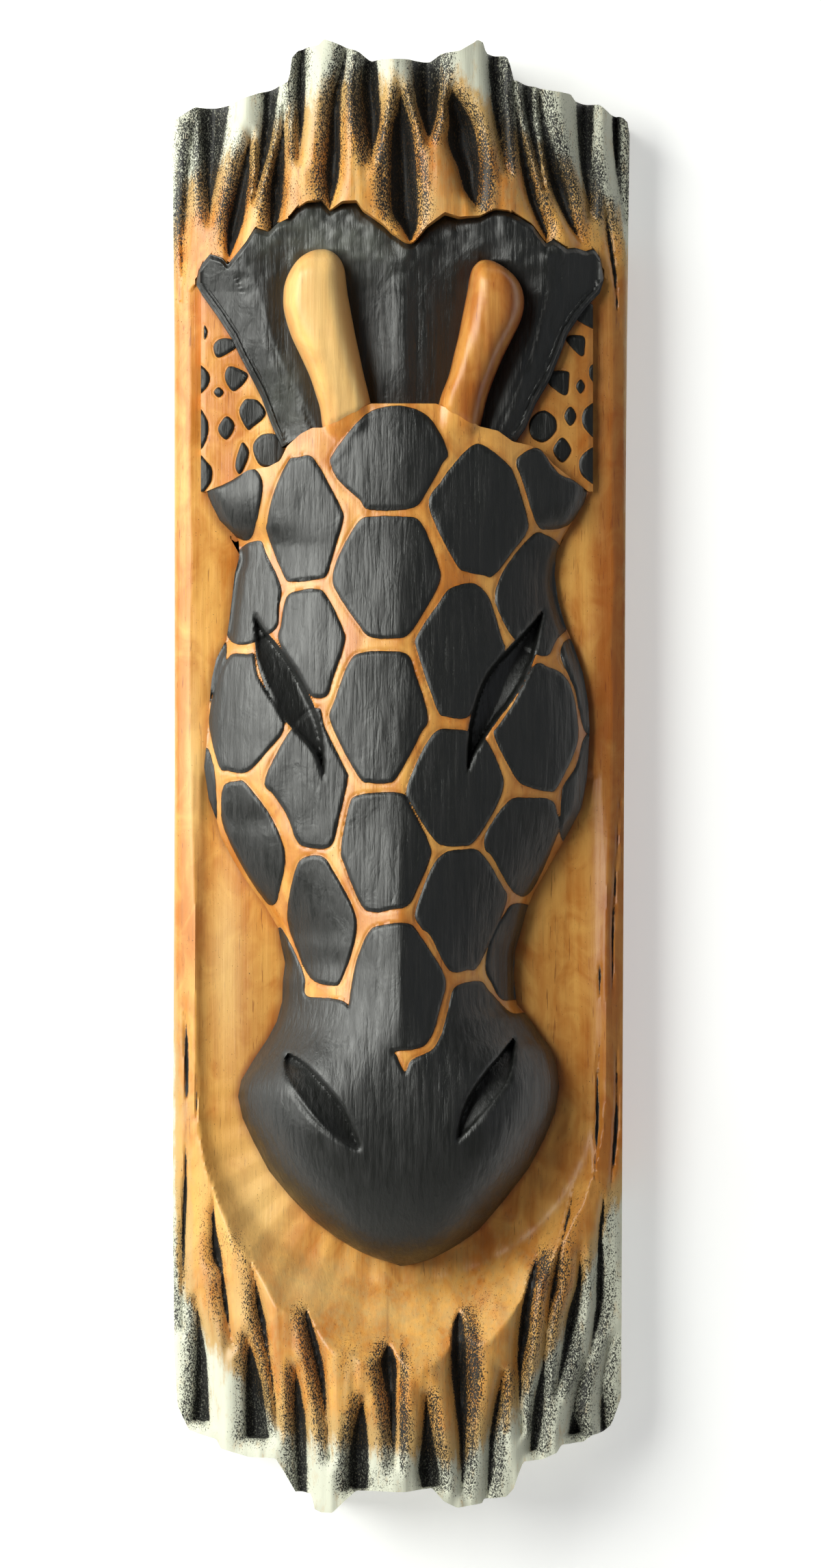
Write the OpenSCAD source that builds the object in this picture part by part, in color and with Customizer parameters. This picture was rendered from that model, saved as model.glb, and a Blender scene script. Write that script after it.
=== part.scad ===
// Wall-hung giraffe mask, carved from a half log, with a recessed ring hanger.
//
// Frame: +Z up, the front faces -Y and the flat back lies in the plane Y = 0.
// Outlines are drawn in the front view as [x, z] at the nominal 157 x 500 size and stretched
// to mask_w and mask_h. A "depth" is a distance from the back plane towards the viewer.

/* [Overall] */
// Height from the lowest to the highest fringe lobe
mask_h = 500; // [420:5:600]
// Width across the half log
mask_w = 157; // [132:1:190]
// Depth from the wall to the ridge of the nose
mask_d = 62; // [56:1:76]

/* [Half log] */
// Thickness of the half log at its two long edges
edge_d = 20; // [16:0.5:24]
// Thickness of the half log along its middle
crest_d = 44; // [38:0.5:52]
// Wood left behind the head, the crown and the ears
seat_d = 24; // [20:0.5:28]
// Depth of the widest fringe grooves
groove_d = 5; // [3:0.25:6.5]
// How far the dish round the muzzle widens for each unit it rises
dish_flare = 1.4; // [0.8:0.05:1.5]

/* [Head] */
// Thickness of the crown behind the horns
crown_t = 13; // [10:0.5:15]
// Fall of the crown's shoulders for each unit outwards
shoulder_fall = 0.55; // [0.3:0.05:0.7]
// Depth of the eye slits at the cheek
eye_cut = 7; // [4:0.5:10]
// Depth of the nostril slits
nostril_cut = 7; // [4:0.5:10]
// Joint line left between carved masses that stand side by side
joint_gap = 0.3; // [0.1:0.05:0.6]

/* [Ears] */
// Thickness of the ears along their inner edge
ear_t = 7; // [5:0.5:9]
// Thickness of the ears along their outer edge
ear_edge_t = 3; // [2:0.5:4]

/* [Horns] */
// Radius of the rounded horn tips
horn_r = 10.5; // [8.5:0.25:12.5]
// Height of the horns above the crown
horn_t = 16; // [13:0.5:19]

/* [Hanger] */
// Wire thickness of the ring
wire_d = 2.5; // [2:0.25:3]
// Width of the ring between its wire centres
ring_w = 20; // [17:0.5:24]
// Height of the ring from its bar to the top of its bow
ring_h = 15; // [13:0.5:18]
// Play round the bar in the strap's loop
bar_play = 0.35; // [0.2:0.05:0.6]
// Width of the hanger strap
strap_w = 12; // [9:0.5:14]
// Length of the strap below the loop
strap_l = 30; // [26:0.5:36]
// Thickness of the strap
strap_t = 1.2; // [0.8:0.1:1.6]
// Depth of the pocket that hides the hanger
pocket_d = 9; // [8:0.25:11]
// Room left round the ring and strap in the pocket
pocket_gap = 2.5; // [2:0.25:5]
// Shank thickness of the strap screws
screw_d = 2.9; // [2.4:0.1:3.3]
// Length of the screws under the head
screw_l = 10; // [8:0.5:12]

/* [Hidden] */
$fn = 96;

sx = mask_w / 157;
sz = mask_h / 500;

// The half log is an arc of one circle: crest_d thick in the middle, edge_d at the long edges.
log_r = (pow(crest_d - edge_d, 2) + pow(mask_w / 2, 2)) / (2 * (crest_d - edge_d));
log_axis = log_r - crest_d;
clear = mask_d + 10;

crown_d = seat_d + crown_t;

// The dish is a cone whose floor holds the muzzle.
dish_r = 66 * sx;
dish_z = -172 * sz + dish_r;
dish_top = -32;

loop_r = wire_d / 2 + bar_play + strap_t;
loop_d = pocket_d - loop_r;
loop_z = 200 * sz;
ring_bow = ring_w / 2;
screw_head_r = screw_d;
screw_head_h = 1.6;
screw_z = [loop_z - 10, loop_z - strap_l + 7];

function fit(points) = [for (p = points) [p[0] * sx, p[1] * sz]];
function shift(points, dx, dz) = [for (p = points) [p[0] + dx, p[1] + dz]];
function flip(points) = [for (i = [len(points) - 1 : -1 : 0]) points[i]];
function middle(points) = [for (i = [1 : len(points) - 2]) points[i]];
function log_depth(x) = sqrt(log_r * log_r - x * x) - log_axis;

// Fringe silhouette, clockwise from the left end of the top.
top_edge = [
    [-78.5, 219], [-77.5, 225], [-70.5, 229], [-58, 229], [-47, 233], [-38, 236], [-37, 244],
    [-35, 246.5], [-28, 248], [-26, 250], [-18, 247.5], [-10, 243], [10, 243], [14, 245],
    [20, 246], [26, 250], [29, 245.5], [36, 244.5], [38.5, 236.5], [50, 233.5], [58, 232.5],
    [60, 230], [70.5, 228.5], [72, 226.5], [78, 224], [78.5, 219]
];
bottom_edge = [
    [75.5, -215], [74.5, -222], [68, -225], [57, -228], [55, -231], [43.5, -233.5],
    [41.5, -238], [37.5, -245], [29, -246], [20, -248.5], [15, -246], [11, -241.5],
    [-15.5, -242.5], [-19, -245], [-24, -250], [-28, -250], [-31, -245], [-37, -243.5],
    [-41, -236.5], [-44, -232], [-53.5, -232], [-63.5, -229.5], [-65, -226.5], [-75, -224],
    [-78, -215]
];

// Lower lip of the top fringe, left to right, where the crown runs under it.
lip = [
    [-70, 169.5], [-68, 174.5], [-65, 178], [-61, 176.5], [-59, 174], [-49, 186], [-45, 185],
    [-42, 188], [-35, 193], [-27, 195.5], [-24, 192], [-15, 195], [-10, 190], [-3, 184],
    [2.5, 180.5], [9, 186.5], [15, 191], [27, 190], [37, 192.5], [45, 187], [49.5, 181],
    [52, 182.5], [57, 179.5], [66, 180], [69.5, 170]
];

// Outer edges of the crown's shoulders, from the lip down to the brow.
shoulder_left = [
    [-70, 169.5], [-66, 160.5], [-61, 154.5], [-57.5, 149], [-52, 138], [-47.5, 129],
    [-44, 119.5], [-38.5, 112]
];
shoulder_right = [
    [69.5, 170], [65, 162], [61, 157], [55.5, 148], [50.5, 134.5], [46, 127], [42.5, 118.5],
    [38, 113.5]
];
// Where each shoulder starts to fall: [x, z] at the brow and at the lip.
fall_left = [[-34, 118], [-52, 170]];
fall_right = [[34, 118], [51, 170]];

// Brow: the upper edge of the face, left to right.
brow_left = [[-66.5, 97], [-58, 100.5], [-52, 104], [-45, 105], [-41, 107], [-38.5, 112]];
brow_mid = [[-26.5, 118], [-10, 126], [12, 126], [26.5, 118.5]];
brow_right = [[38, 113.5], [43, 112.5], [48, 111], [52, 106], [58, 101.5], [64, 97]];

// Face sections, top to chin: [z, left x, right x, share of the ridge height].
face = [
    [128, -67, 64, 0.58], [97, -66.5, 64, 0.63], [86, -62, 59.5, 0.65],
    [76, -55.5, 54.5, 0.67], [66, -57, 53, 0.7], [53, -58.5, 55.5, 0.73],
    [40, -63, 60.5, 0.76], [22, -65.5, 64, 0.79], [3, -67, 64, 0.82],
    [-8, -65.5, 62.5, 0.84], [-21, -61.5, 56.5, 0.86], [-35, -53.5, 48, 0.89],
    [-50, -43, 42, 0.92], [-64, -39.5, 38.5, 0.94], [-77, -40.5, 39.5, 0.96],
    [-90, -45.5, 48.5, 0.98], [-104, -54.5, 54, 1], [-117, -54, 52.5, 1],
    [-130, -47.5, 46, 0.96], [-144, -37.5, 36, 0.86], [-156, -25, 26, 0.67],
    [-163, -13.5, 15, 0.44], [-167, -4, 5, 0.16]
];
// Fall of the face from its ridge: the share that falls straight, and where the sides stand.
face_slope = 0.4;
face_side = 0.14;
face_round = 2.6;
face_across = 8;

eye_left = [
    [-50, 54.5], [-49.5, 46.5], [-48, 37], [-45, 28.5], [-41, 21], [-36.5, 15.5],
    [-31.5, 10.5], [-28, 5.5], [-26, -1], [-26, 7.5], [-27, 16], [-29, 23], [-32.5, 30],
    [-36.5, 37], [-42, 44.5]
];
eye_right = [
    [48.5, 56], [44, 51], [36, 43], [30, 36], [26.5, 28.5], [23.5, 19], [22.5, 9.5],
    [22.5, 2], [24.5, 6.5], [28, 11.5], [32, 18], [38.5, 26.5], [42.5, 34], [46, 42]
];
nostril_left = [
    [-38.5, -94.5], [-39, -101], [-36.5, -106], [-32.5, -112.5], [-27, -118], [-20.5, -122.5],
    [-14, -125], [-17, -115.5], [-20.5, -109.5], [-26, -103], [-32.5, -96.5]
];
nostril_right = [
    [38.5, -89.5], [28, -100], [23.5, -106], [20.5, -112.5], [19, -119], [19.5, -122.5],
    [23.5, -119], [29, -113.5], [34, -107], [37.5, -101]
];

// Horn cores from the tip down to the brow: [x, z, radius as a share of horn_r].
horn_left = [[-29, 167.5, 1], [-27.5, 155, 1.03], [-23.5, 141, 0.94], [-19, 121, 0.83]];
horn_right = [[32, 164.5, 0.94], [30.5, 155, 1], [26, 141, 0.96], [20, 121, 0.85]];

// Fringe grooves: [x, z, width] at the wide end, then [x, z] at the tip.
top_grooves = [
    [-74, 215, 3, -75, 163], [-64, 232, 11, -65.5, 190], [-55, 205, 5.5, -51.5, 220],
    [-55, 205, 5.5, -58.5, 176], [-44, 238, 6, -50, 196], [-43, 205, 4, -40, 228],
    [-43, 205, 4, -44, 186], [-33.5, 250, 3.5, -34.5, 210], [-19, 250, 5, -24, 192.5],
    [-10.5, 246, 7, -10, 209], [0, 205, 10, 0, 233], [0, 205, 10, 2.5, 181],
    [8.5, 246, 10, 9.5, 215], [21, 218, 9.5, 17.5, 233], [21, 218, 9.5, 26, 192],
    [32, 249, 4.5, 36, 206], [41, 222, 3.5, 38, 239], [43, 210, 4, 49.5, 182],
    [42, 238, 6, 49, 200], [49, 218, 4, 46.5, 235], [53, 208, 5.5, 61, 183],
    [63, 233, 7, 65, 191], [74, 229, 4, 76, 190], [71.5, 184, 2.5, 70, 197],
    [71.5, 184, 2.5, 74, 158]
];
bottom_grooves = [
    [-73.3, -110, 2, -74, -76], [-74.3, -150, 2, -74.3, -188], [-63.5, -158, 3.5, -64.5, -140],
    [-63, -159, 3.5, -57.5, -194], [-48, -182, 3.5, -53.5, -158], [-47.5, -183, 3.5, -42, -223],
    [-68.5, -229, 7.5, -70.5, -178], [-49, -234, 9, -52.5, -191.5], [-33.5, -247, 4.5, -35.5, -201],
    [-30.5, -190, 3.7, -32.5, -181.5], [-29, -196, 3.7, -24, -232], [-14, -246, 8, -13, -211],
    [-4, -200, 6.3, -4, -192.5], [-4, -201, 6.3, -2.5, -234.5], [10, -245, 8, 8.5, -210.5],
    [20, -200, 6.3, 20, -182.5], [20, -202, 6.3, 20.5, -243.5], [30.5, -248, 3, 35, -203],
    [42, -190, 4.3, 46.8, -163], [42, -191, 4.3, 41.3, -223], [53.5, -168, 2.7, 60, -136.5],
    [46, -234, 4.5, 54, -166], [58, -186, 4.3, 61.3, -162.5], [58, -187, 4.3, 53, -210.5],
    [68.5, -170, 3.3, 69.5, -142], [68, -176, 3.3, 64.8, -197.5], [59.5, -229, 5, 63.8, -199],
    [69.3, -228, 3, 71, -200], [67, -120, 2, 67, -96], [67, -122, 2, 66, -143.5],
    [74, -110, 1.8, 75, -80], [73.3, -122, 2.2, 71.7, -143], [73, -45, 1.8, 75.5, -5],
    [72.8, -48, 1.8, 72.5, -79]
];

// An outline of the front view made solid between two depths.
module carved(from_d, to_d) {
    translate([0, -from_d, 0])
        rotate([90, 0, 0])
            linear_extrude(to_d - from_d)
                children();
}

// The round outside of a half log of the given radius, on the log's own axis.
module log_round(r) {
    translate([0, log_axis, 0])
        cylinder(h = 2 * mask_h, r = r, center = true, $fn = 180);
}

// A V cut that starts wide and deep and runs out at its tip.
module groove(g) {
    w = g[2] * sx;
    d = groove_d * min(1, w / (9 * sx));
    above = d + 4;
    start = [g[0] * sx, d - log_depth(g[0] * sx), g[1] * sz];
    tip = [g[3] * sx, -0.2 - log_depth(g[3] * sx), g[4] * sz];
    run = tip - start;
    half = w / 2 * above / d;
    translate(start)
        rotate([-asin(run[1] / norm(run)), atan2(run[0], run[2]), 0])
            linear_extrude(norm(run))
                polygon([[0, 0], [-half, -above], [half, -above]]);
}

// Seat for the crown and ears at the top, and the flat band beside the face.
module upper_recess() {
    side = mask_w;
    carved(seat_d, clear)
        polygon(concat(
            [[-side, dish_top * sz], [-side, 164 * sz]], fit([[-74, 167]]),
            fit(lip), fit([[73, 176]]),
            [[side, 178 * sz], [side, dish_top * sz]]
        ));
}

// Dish round the muzzle: a cone at the bottom and a trough of the same flare above it.
module dish() {
    rise = clear - seat_d;
    translate([0, -seat_d, dish_z])
        rotate([90, 0, 0])
            cylinder(h = rise, r1 = dish_r, r2 = dish_r + dish_flare * rise);
    translate([0, 0, dish_z])
        linear_extrude(dish_top * sz - dish_z)
            polygon([
                [-dish_r, -seat_d], [dish_r, -seat_d],
                [dish_r + dish_flare * rise, -clear], [-dish_r - dish_flare * rise, -clear]
            ]);
}

module hanger_pocket() {
    half = max(ring_w + wire_d, strap_w) / 2 + pocket_gap;
    low = loop_z - strap_l - pocket_gap;
    high = loop_z + ring_h + wire_d / 2 + pocket_gap;
    translate([-half, -pocket_d, low])
        cube([2 * half, pocket_d + 1, high - low]);
}

module screw_places() {
    for (z = screw_z)
        translate([0, -pocket_d, z])
            rotate([90, 0, 0])
                children();
}

module log_slab() {
    color([0.89, 0.66, 0.36])
        difference() {
            intersection() {
                carved(0, crest_d + 1)
                    polygon(fit(concat(top_edge, bottom_edge)));
                log_round(log_r);
            }
            upper_recess();
            dish();
            for (g = top_grooves) groove(g);
            for (g = bottom_grooves) groove(g);
            hanger_pocket();
            screw_places()
                translate([0, 0, -1])
                    cylinder(h = screw_l - strap_t + 2, d = screw_d + 0.1, $fn = 32);
        }
}

// Depth of the face at share t of the way from its ridge to its side.
function face_fall(t) = 1 - face_slope * t - (1 - face_slope - face_side) * pow(t, face_round);
function face_point(s, u) =
    [(u < 0 ? -u * s[1] : u * s[2]) * sx,
     -seat_d - (mask_d - seat_d) * s[3] * face_fall(abs(u)),
     s[0] * sz];
function face_ring(s) = concat(
    [[s[1] * sx, -seat_d, s[0] * sz]],
    [for (i = [-face_across : face_across]) face_point(s, i / face_across)],
    [[s[2] * sx, -seat_d, s[0] * sz]]
);

module face_mass() {
    n = 2 * face_across + 3;
    rows = len(face);
    points = [for (s = face) each face_ring(s)];
    walls = [
        for (r = [0 : rows - 2], i = [0 : n - 1])
            each [
                [r * n + i, (r + 1) * n + (i + 1) % n, (r + 1) * n + i],
                [r * n + i, r * n + (i + 1) % n, (r + 1) * n + (i + 1) % n]
            ]
    ];
    top = [for (i = [n - 1 : -1 : 0]) i];
    chin = [for (i = [0 : n - 1]) (rows - 1) * n + i];
    polyhedron(points, concat(walls, [top, chin]));
}

// Everything above the brow, which the face stops at.
module above_brow(gap) {
    side = mask_w;
    carved(seat_d - 1, clear + 1)
        polygon(concat(
            [[-side, 97 * sz + gap]],
            shift(fit(concat(brow_left, brow_mid, brow_right)), 0, gap),
            [[side, 97 * sz + gap], [side, mask_h], [-side, mask_h]]
        ));
}

// A long prism that starts at one [x, z] point and runs past another, at one depth.
module run_along(from, to, depth) {
    lean = atan2((to[0] - from[0]) * sx, (to[1] - from[1]) * sz);
    translate([from[0] * sx, -depth, from[1] * sz])
        rotate([0, lean, 0])
            translate([0, 0, -mask_h / 10])
                linear_extrude(mask_h / 2)
                    children();
}

// Takes off a shoulder: side is -1 on the left and 1 on the right.
module shoulder_cut(edge, side) {
    reach = 40 * sx;
    run_along(edge[0], edge[1], crown_d)
        polygon([[0, 0], [side * reach, shoulder_fall * reach], [side * reach, -reach], [0, -reach]]);
}

// The raised part behind the horns, under the lip of the fringe.
module crown() {
    difference() {
        carved(seat_d, crown_d)
            polygon(concat(
                shift(fit(lip), 0, -joint_gap),
                shift(fit(shoulder_right), 0, -joint_gap),
                fit(flip(brow_mid)),
                shift(fit(flip(shoulder_left)), 0, -joint_gap)
            ));
        shoulder_cut(fall_left, -1);
        shoulder_cut(fall_right, 1);
    }
}

// A slit cut straight back from the front to the given depth.
module slit(outline, floor_d) {
    carved(floor_d, clear)
        polygon(fit(outline));
}

function face_depth(s, t) = seat_d + (mask_d - seat_d) * s * face_fall(t);

module giraffe_head() {
    eye_floor = face_depth(0.77, 0.6) - eye_cut;
    nostril_floor = face_depth(1, 0.5) - nostril_cut;
    color([0.13, 0.13, 0.13]) {
        difference() {
            face_mass();
            above_brow(0);
            slit(eye_left, eye_floor);
            slit(eye_right, eye_floor);
            slit(nostril_left, nostril_floor);
            slit(nostril_right, nostril_floor);
        }
        crown();
    }
}

// A tapering horn with a rounded tip, flat where it sits on the crown.
module horn(cores) {
    rise = horn_t - horn_r;
    color([0.89, 0.66, 0.36])
        intersection() {
            hull()
                for (c = cores)
                    translate([c[0] * sx, -crown_d - rise, c[1] * sz])
                        sphere(r = horn_r * c[2], $fn = 32);
            carved(crown_d, clear)
                square(2 * mask_h, center = true);
            above_brow(joint_gap);
        }
}

module left_horn() {
    horn(horn_left);
}

module right_horn() {
    horn(horn_right);
}

// A spotted ear: a plate that thins towards its outer edge.
module ear(outline, side) {
    inner = 40 * sx;
    outer = 69 * sx;
    color([0.84, 0.6, 0.32])
        intersection() {
            carved(seat_d, seat_d + ear_t)
                polygon(outline);
            linear_extrude(mask_h, center = true)
                polygon([
                    [0, 0], [0, -seat_d - ear_t], [side * inner, -seat_d - ear_t],
                    [side * outer, -seat_d - ear_edge_t], [side * outer, 0]
                ]);
        }
}

module left_ear() {
    ear(concat(
        shift(fit(brow_left), -2 * joint_gap, joint_gap),
        shift(fit(flip(middle(shoulder_left))), -joint_gap, -joint_gap),
        fit([[-68.3, 158], [-68.3, 110]])
    ), -1);
}

module right_ear() {
    ear(concat(
        shift(fit(brow_right), 2 * joint_gap, joint_gap),
        fit([[65.3, 115], [65.8, 160]]),
        shift(fit(middle(shoulder_right)), joint_gap, -joint_gap)
    ), 1);
}

module hanger_strap() {
    color([0.78, 0.75, 0.66])
        difference() {
            union() {
                translate([-strap_w / 2, -pocket_d, loop_z - strap_l])
                    cube([strap_w, strap_t, strap_l]);
                translate([-strap_w / 2, -loop_d, loop_z])
                    rotate([0, 90, 0])
                        cylinder(h = strap_w, r = loop_r, $fn = 48);
            }
            translate([-strap_w, -loop_d, loop_z])
                rotate([0, 90, 0])
                    cylinder(h = 2 * strap_w, r = loop_r - strap_t, $fn = 48);
            screw_places()
                translate([0, 0, -strap_t - 1])
                    cylinder(h = strap_t + 2, d = screw_d + 0.6, $fn = 32);
        }
}

module wire(length) {
    cylinder(h = length, d = wire_d, $fn = 32);
}

// A D ring standing up from its bar: bar, two short legs and a round bow.
module hanger_ring() {
    leg = ring_h - ring_bow;
    color([0.8, 0.78, 0.7])
        translate([0, -loop_d, loop_z]) {
            translate([-ring_bow, 0, 0])
                rotate([0, 90, 0])
                    wire(ring_w);
            for (s = [-1, 1])
                translate([s * ring_bow, 0, 0]) {
                    sphere(d = wire_d, $fn = 32);
                    wire(leg);
                }
            translate([0, 0, leg])
                rotate([90, 0, 0])
                    rotate_extrude(angle = 180)
                        translate([ring_bow, 0])
                            circle(d = wire_d, $fn = 32);
        }
}

// One pan-head wood screw, pointing towards the front, with its head on the strap.
module screw() {
    point = 3;
    translate([0, 0, -strap_t])
        difference() {
            rotate_extrude($fn = 32)
                polygon([
                    [0, -screw_head_h], [screw_head_r * 0.6, -screw_head_h],
                    [screw_head_r, -screw_head_h * 0.45], [screw_head_r, 0], [screw_d / 2, 0],
                    [screw_d / 2, screw_l - point], [0, screw_l]
                ]);
            for (a = [0, 90])
                rotate([0, 0, a])
                    translate([-1.5, -0.4, -screw_head_h - 1])
                        cube([3, 0.8, 1.8]);
        }
}

module hanger_screws() {
    color([0.7, 0.68, 0.6])
        screw_places()
            screw();
}

log_slab();
giraffe_head();
left_horn();
right_horn();
left_ear();
right_ear();
hanger_strap();
hanger_ring();
hanger_screws();
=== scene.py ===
"""A giraffe mask carved from a half log and painted, with a ring hanger let into its back.

Sizes are in millimetres in the object's own frame: X to the right, Y towards the wall, Z up,
the origin in the middle of the flat back. A depth is a distance in front of the wall plane.
Outlines are front views, [x, z]. Meshes are written in metres.
"""

import logging
import math
from dataclasses import dataclass, field
from enum import Enum

import bpy
import numpy as np
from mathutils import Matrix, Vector


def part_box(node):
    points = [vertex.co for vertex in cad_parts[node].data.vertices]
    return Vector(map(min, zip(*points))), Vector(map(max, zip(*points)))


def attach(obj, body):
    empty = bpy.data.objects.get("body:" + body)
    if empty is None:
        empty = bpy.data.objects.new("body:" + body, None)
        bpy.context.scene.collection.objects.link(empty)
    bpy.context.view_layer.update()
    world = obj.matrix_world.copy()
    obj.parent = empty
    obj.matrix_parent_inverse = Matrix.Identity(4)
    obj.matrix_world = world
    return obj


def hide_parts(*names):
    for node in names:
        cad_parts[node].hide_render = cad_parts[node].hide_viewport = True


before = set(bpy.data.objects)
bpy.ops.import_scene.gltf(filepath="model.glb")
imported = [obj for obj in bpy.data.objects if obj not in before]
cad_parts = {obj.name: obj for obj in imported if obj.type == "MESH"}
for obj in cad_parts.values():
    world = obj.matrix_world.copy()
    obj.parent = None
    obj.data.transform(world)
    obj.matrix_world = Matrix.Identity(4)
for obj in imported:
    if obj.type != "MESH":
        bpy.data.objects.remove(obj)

log = logging.getLogger("giraffe_mask")

Line = list[tuple[float, float]]
Stations = list[tuple[float, float, float]]
Patches = list[tuple[float, float, float, float, float]]
Rgb = tuple[int, int, int]

MM = 0.001
NOMINAL_W, NOMINAL_H = 157.0, 500.0  # the size that every outline is drawn at
HALF_W, HALF_H = NOMINAL_W / 2, NOMINAL_H / 2
LIP_Z = 185.0  # level of the lip under the top fringe before it is bent to its line
HEAD_TOP = 97.0  # height where the face's sides meet the brow
INK_REACH = 2.0  # how far the ink field fades on each side of a painted edge
FAR = 6.0  # distances to outlines are measured no further than this


# ---------------------------------------------------------------- curves and fields


def flowing(points: Line | Stations, closed: bool = True, per: int = 6) -> np.ndarray:
    """A smooth line through given points, each span a Catmull-Rom cubic.

    Args:
        points: the points the line passes through.
        closed: whether the line returns to its first point.
        per: new points for each span.

    Returns:
        The line's points, one a row.
    """
    p = np.asarray(points, float)
    if closed:
        a, b, c, d = np.roll(p, 1, 0), p, np.roll(p, -1, 0), np.roll(p, -2, 0)
    else:
        q = np.vstack([2 * p[0] - p[1], p, 2 * p[-1] - p[-2]])
        a, b, c, d = q[:-3], q[1:-2], q[2:-1], q[3:]
    t = np.linspace(0, 1, per, endpoint=False)[None, :, None]
    a, b, c, d = (e[:, None, :] for e in (a, b, c, d))
    line = 0.5 * (2 * b + (c - a) * t + (2 * a - 5 * b + 4 * c - d) * t**2
                  + (3 * b - a - 3 * c + d) * t**3)
    line = line.reshape(-1, p.shape[1])
    return line if closed else np.vstack([line, p[-1]])


def ease(value: np.ndarray, start: float, end: float) -> np.ndarray:
    """0 before start and 1 past end, with the smooth cubic 3t^2 - 2t^3 between them.

    Args:
        value: where to look.
        start: value at which the rise starts.
        end: value at which it is done.

    Returns:
        One share for each value.
    """
    t = np.clip((value - start) / (end - start), 0, 1)
    return t * t * (3 - 2 * t)


def along(line: Line | np.ndarray, at: np.ndarray) -> np.ndarray:
    """Second value of an open line at each first value, with straight spans."""
    return np.interp(at, *np.asarray(line, float).T)


def sides(line: np.ndarray, z: np.ndarray) -> tuple[np.ndarray, np.ndarray]:
    """Left and right edges at each height, from rows of [z, left x, right x]."""
    return np.interp(z, line[:, 0], line[:, 1]), np.interp(z, line[:, 0], line[:, 2])


def border(grid: np.ndarray) -> np.ndarray:
    """A grid's outer values in one loop: first row, last column, last row, first column."""
    return np.concatenate([grid[0, :-1], grid[:-1, -1], grid[-1, :0:-1], grid[:0:-1, 0]])


def signed_distance(x: np.ndarray, z: np.ndarray, outline: np.ndarray,
                    reach: float = FAR) -> np.ndarray:
    """Distance to a closed outline, below zero inside it.

    The distance is the least one to any span; a point is inside where a level ray from it
    crosses the outline an odd number of times.

    Args:
        x: places across.
        z: places up.
        outline: closed outline, one point a row.
        reach: distance past which every point gets the same value.

    Returns:
        One distance for each place.
    """
    flat_x, flat_z = x.ravel(), z.ravel()
    out = np.full(flat_x.shape, reach)
    low, high = outline.min(0) - reach, outline.max(0) + reach
    near = np.flatnonzero((flat_x > low[0]) & (flat_x < high[0])
                          & (flat_z > low[1]) & (flat_z < high[1]))
    batch = 1500000
    a, b = outline, np.roll(outline, -1, 0)
    span = b - a
    length = np.maximum((span**2).sum(1), 1e-9)
    rise = np.where(span[:, 1] == 0, 1e-9, span[:, 1])
    for part in np.array_split(near, max(1, near.size * len(a) // batch)):
        px, pz = flat_x[part][:, None], flat_z[part][:, None]
        t = np.clip(((px - a[:, 0]) * span[:, 0] + (pz - a[:, 1]) * span[:, 1]) / length, 0, 1)
        gap = np.hypot(px - a[:, 0] - t * span[:, 0], pz - a[:, 1] - t * span[:, 1]).min(1)
        cross = ((a[:, 1] > pz) != (b[:, 1] > pz)) & (
            px < a[:, 0] + (pz - a[:, 1]) * span[:, 0] / rise)
        odd = cross.sum(1) % 2 == 1
        out[part] = np.where(odd, -gap, np.minimum(gap, reach))
    return out.reshape(x.shape)


def nearest(x: np.ndarray, z: np.ndarray, outlines: list[Line], per: int = 5) -> np.ndarray:
    """Signed distance to the nearest of several smooth closed outlines.

    Args:
        x: places across.
        z: places up.
        outlines: the outlines, each as the points a smooth line passes through.
        per: new points for each span.

    Returns:
        One distance for each place.
    """
    out = np.full(x.shape, FAR)
    for outline in outlines:
        out = np.minimum(out, signed_distance(x, z, flowing(outline, per=per)))
    return out


def lumps(x: np.ndarray, z: np.ndarray, wide: float, tall: float, seed: int) -> np.ndarray:
    """A smooth random field from -1 to 1: random heights on a lattice, joined by eased blends.

    Args:
        x: places across.
        z: places up.
        wide: width of one lump.
        tall: height of one lump.
        seed: picks the heights.

    Returns:
        One value for each place.
    """
    size = 64
    table = np.random.default_rng(seed).uniform(-1, 1, (size, size))
    u, v = x / wide + 17.3, z / tall + 9.1
    i, j = np.floor(u).astype(int), np.floor(v).astype(int)
    s, t = ease(u - i, 0, 1), ease(v - j, 0, 1)
    i0, i1, j0, j1 = i % size, (i + 1) % size, j % size, (j + 1) % size
    low = table[i0, j0] * (1 - s) + table[i1, j0] * s
    high = table[i0, j1] * (1 - s) + table[i1, j1] * s
    return low * (1 - t) + high * t


def ink_of(distance: np.ndarray) -> np.ndarray:
    """Paint amount: a half on the edge of a painted shape, 1 well inside, 0 well outside."""
    return np.clip(0.5 - distance / (2 * INK_REACH), 0, 1)


def patches(x: np.ndarray, z: np.ndarray, spots: Patches) -> np.ndarray:
    """Sum of soft round patches, each a bell curve.

    Args:
        x: places across.
        z: places up.
        spots: the patches, each [x, z, width, height, amount].

    Returns:
        The sum at each place.
    """
    out = np.zeros(x.shape)
    for cx, cz, wide, tall, amount in spots:
        out += amount * np.exp(-(((x - cx) / wide) ** 2) - ((z - cz) / tall) ** 2)
    return out


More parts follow.
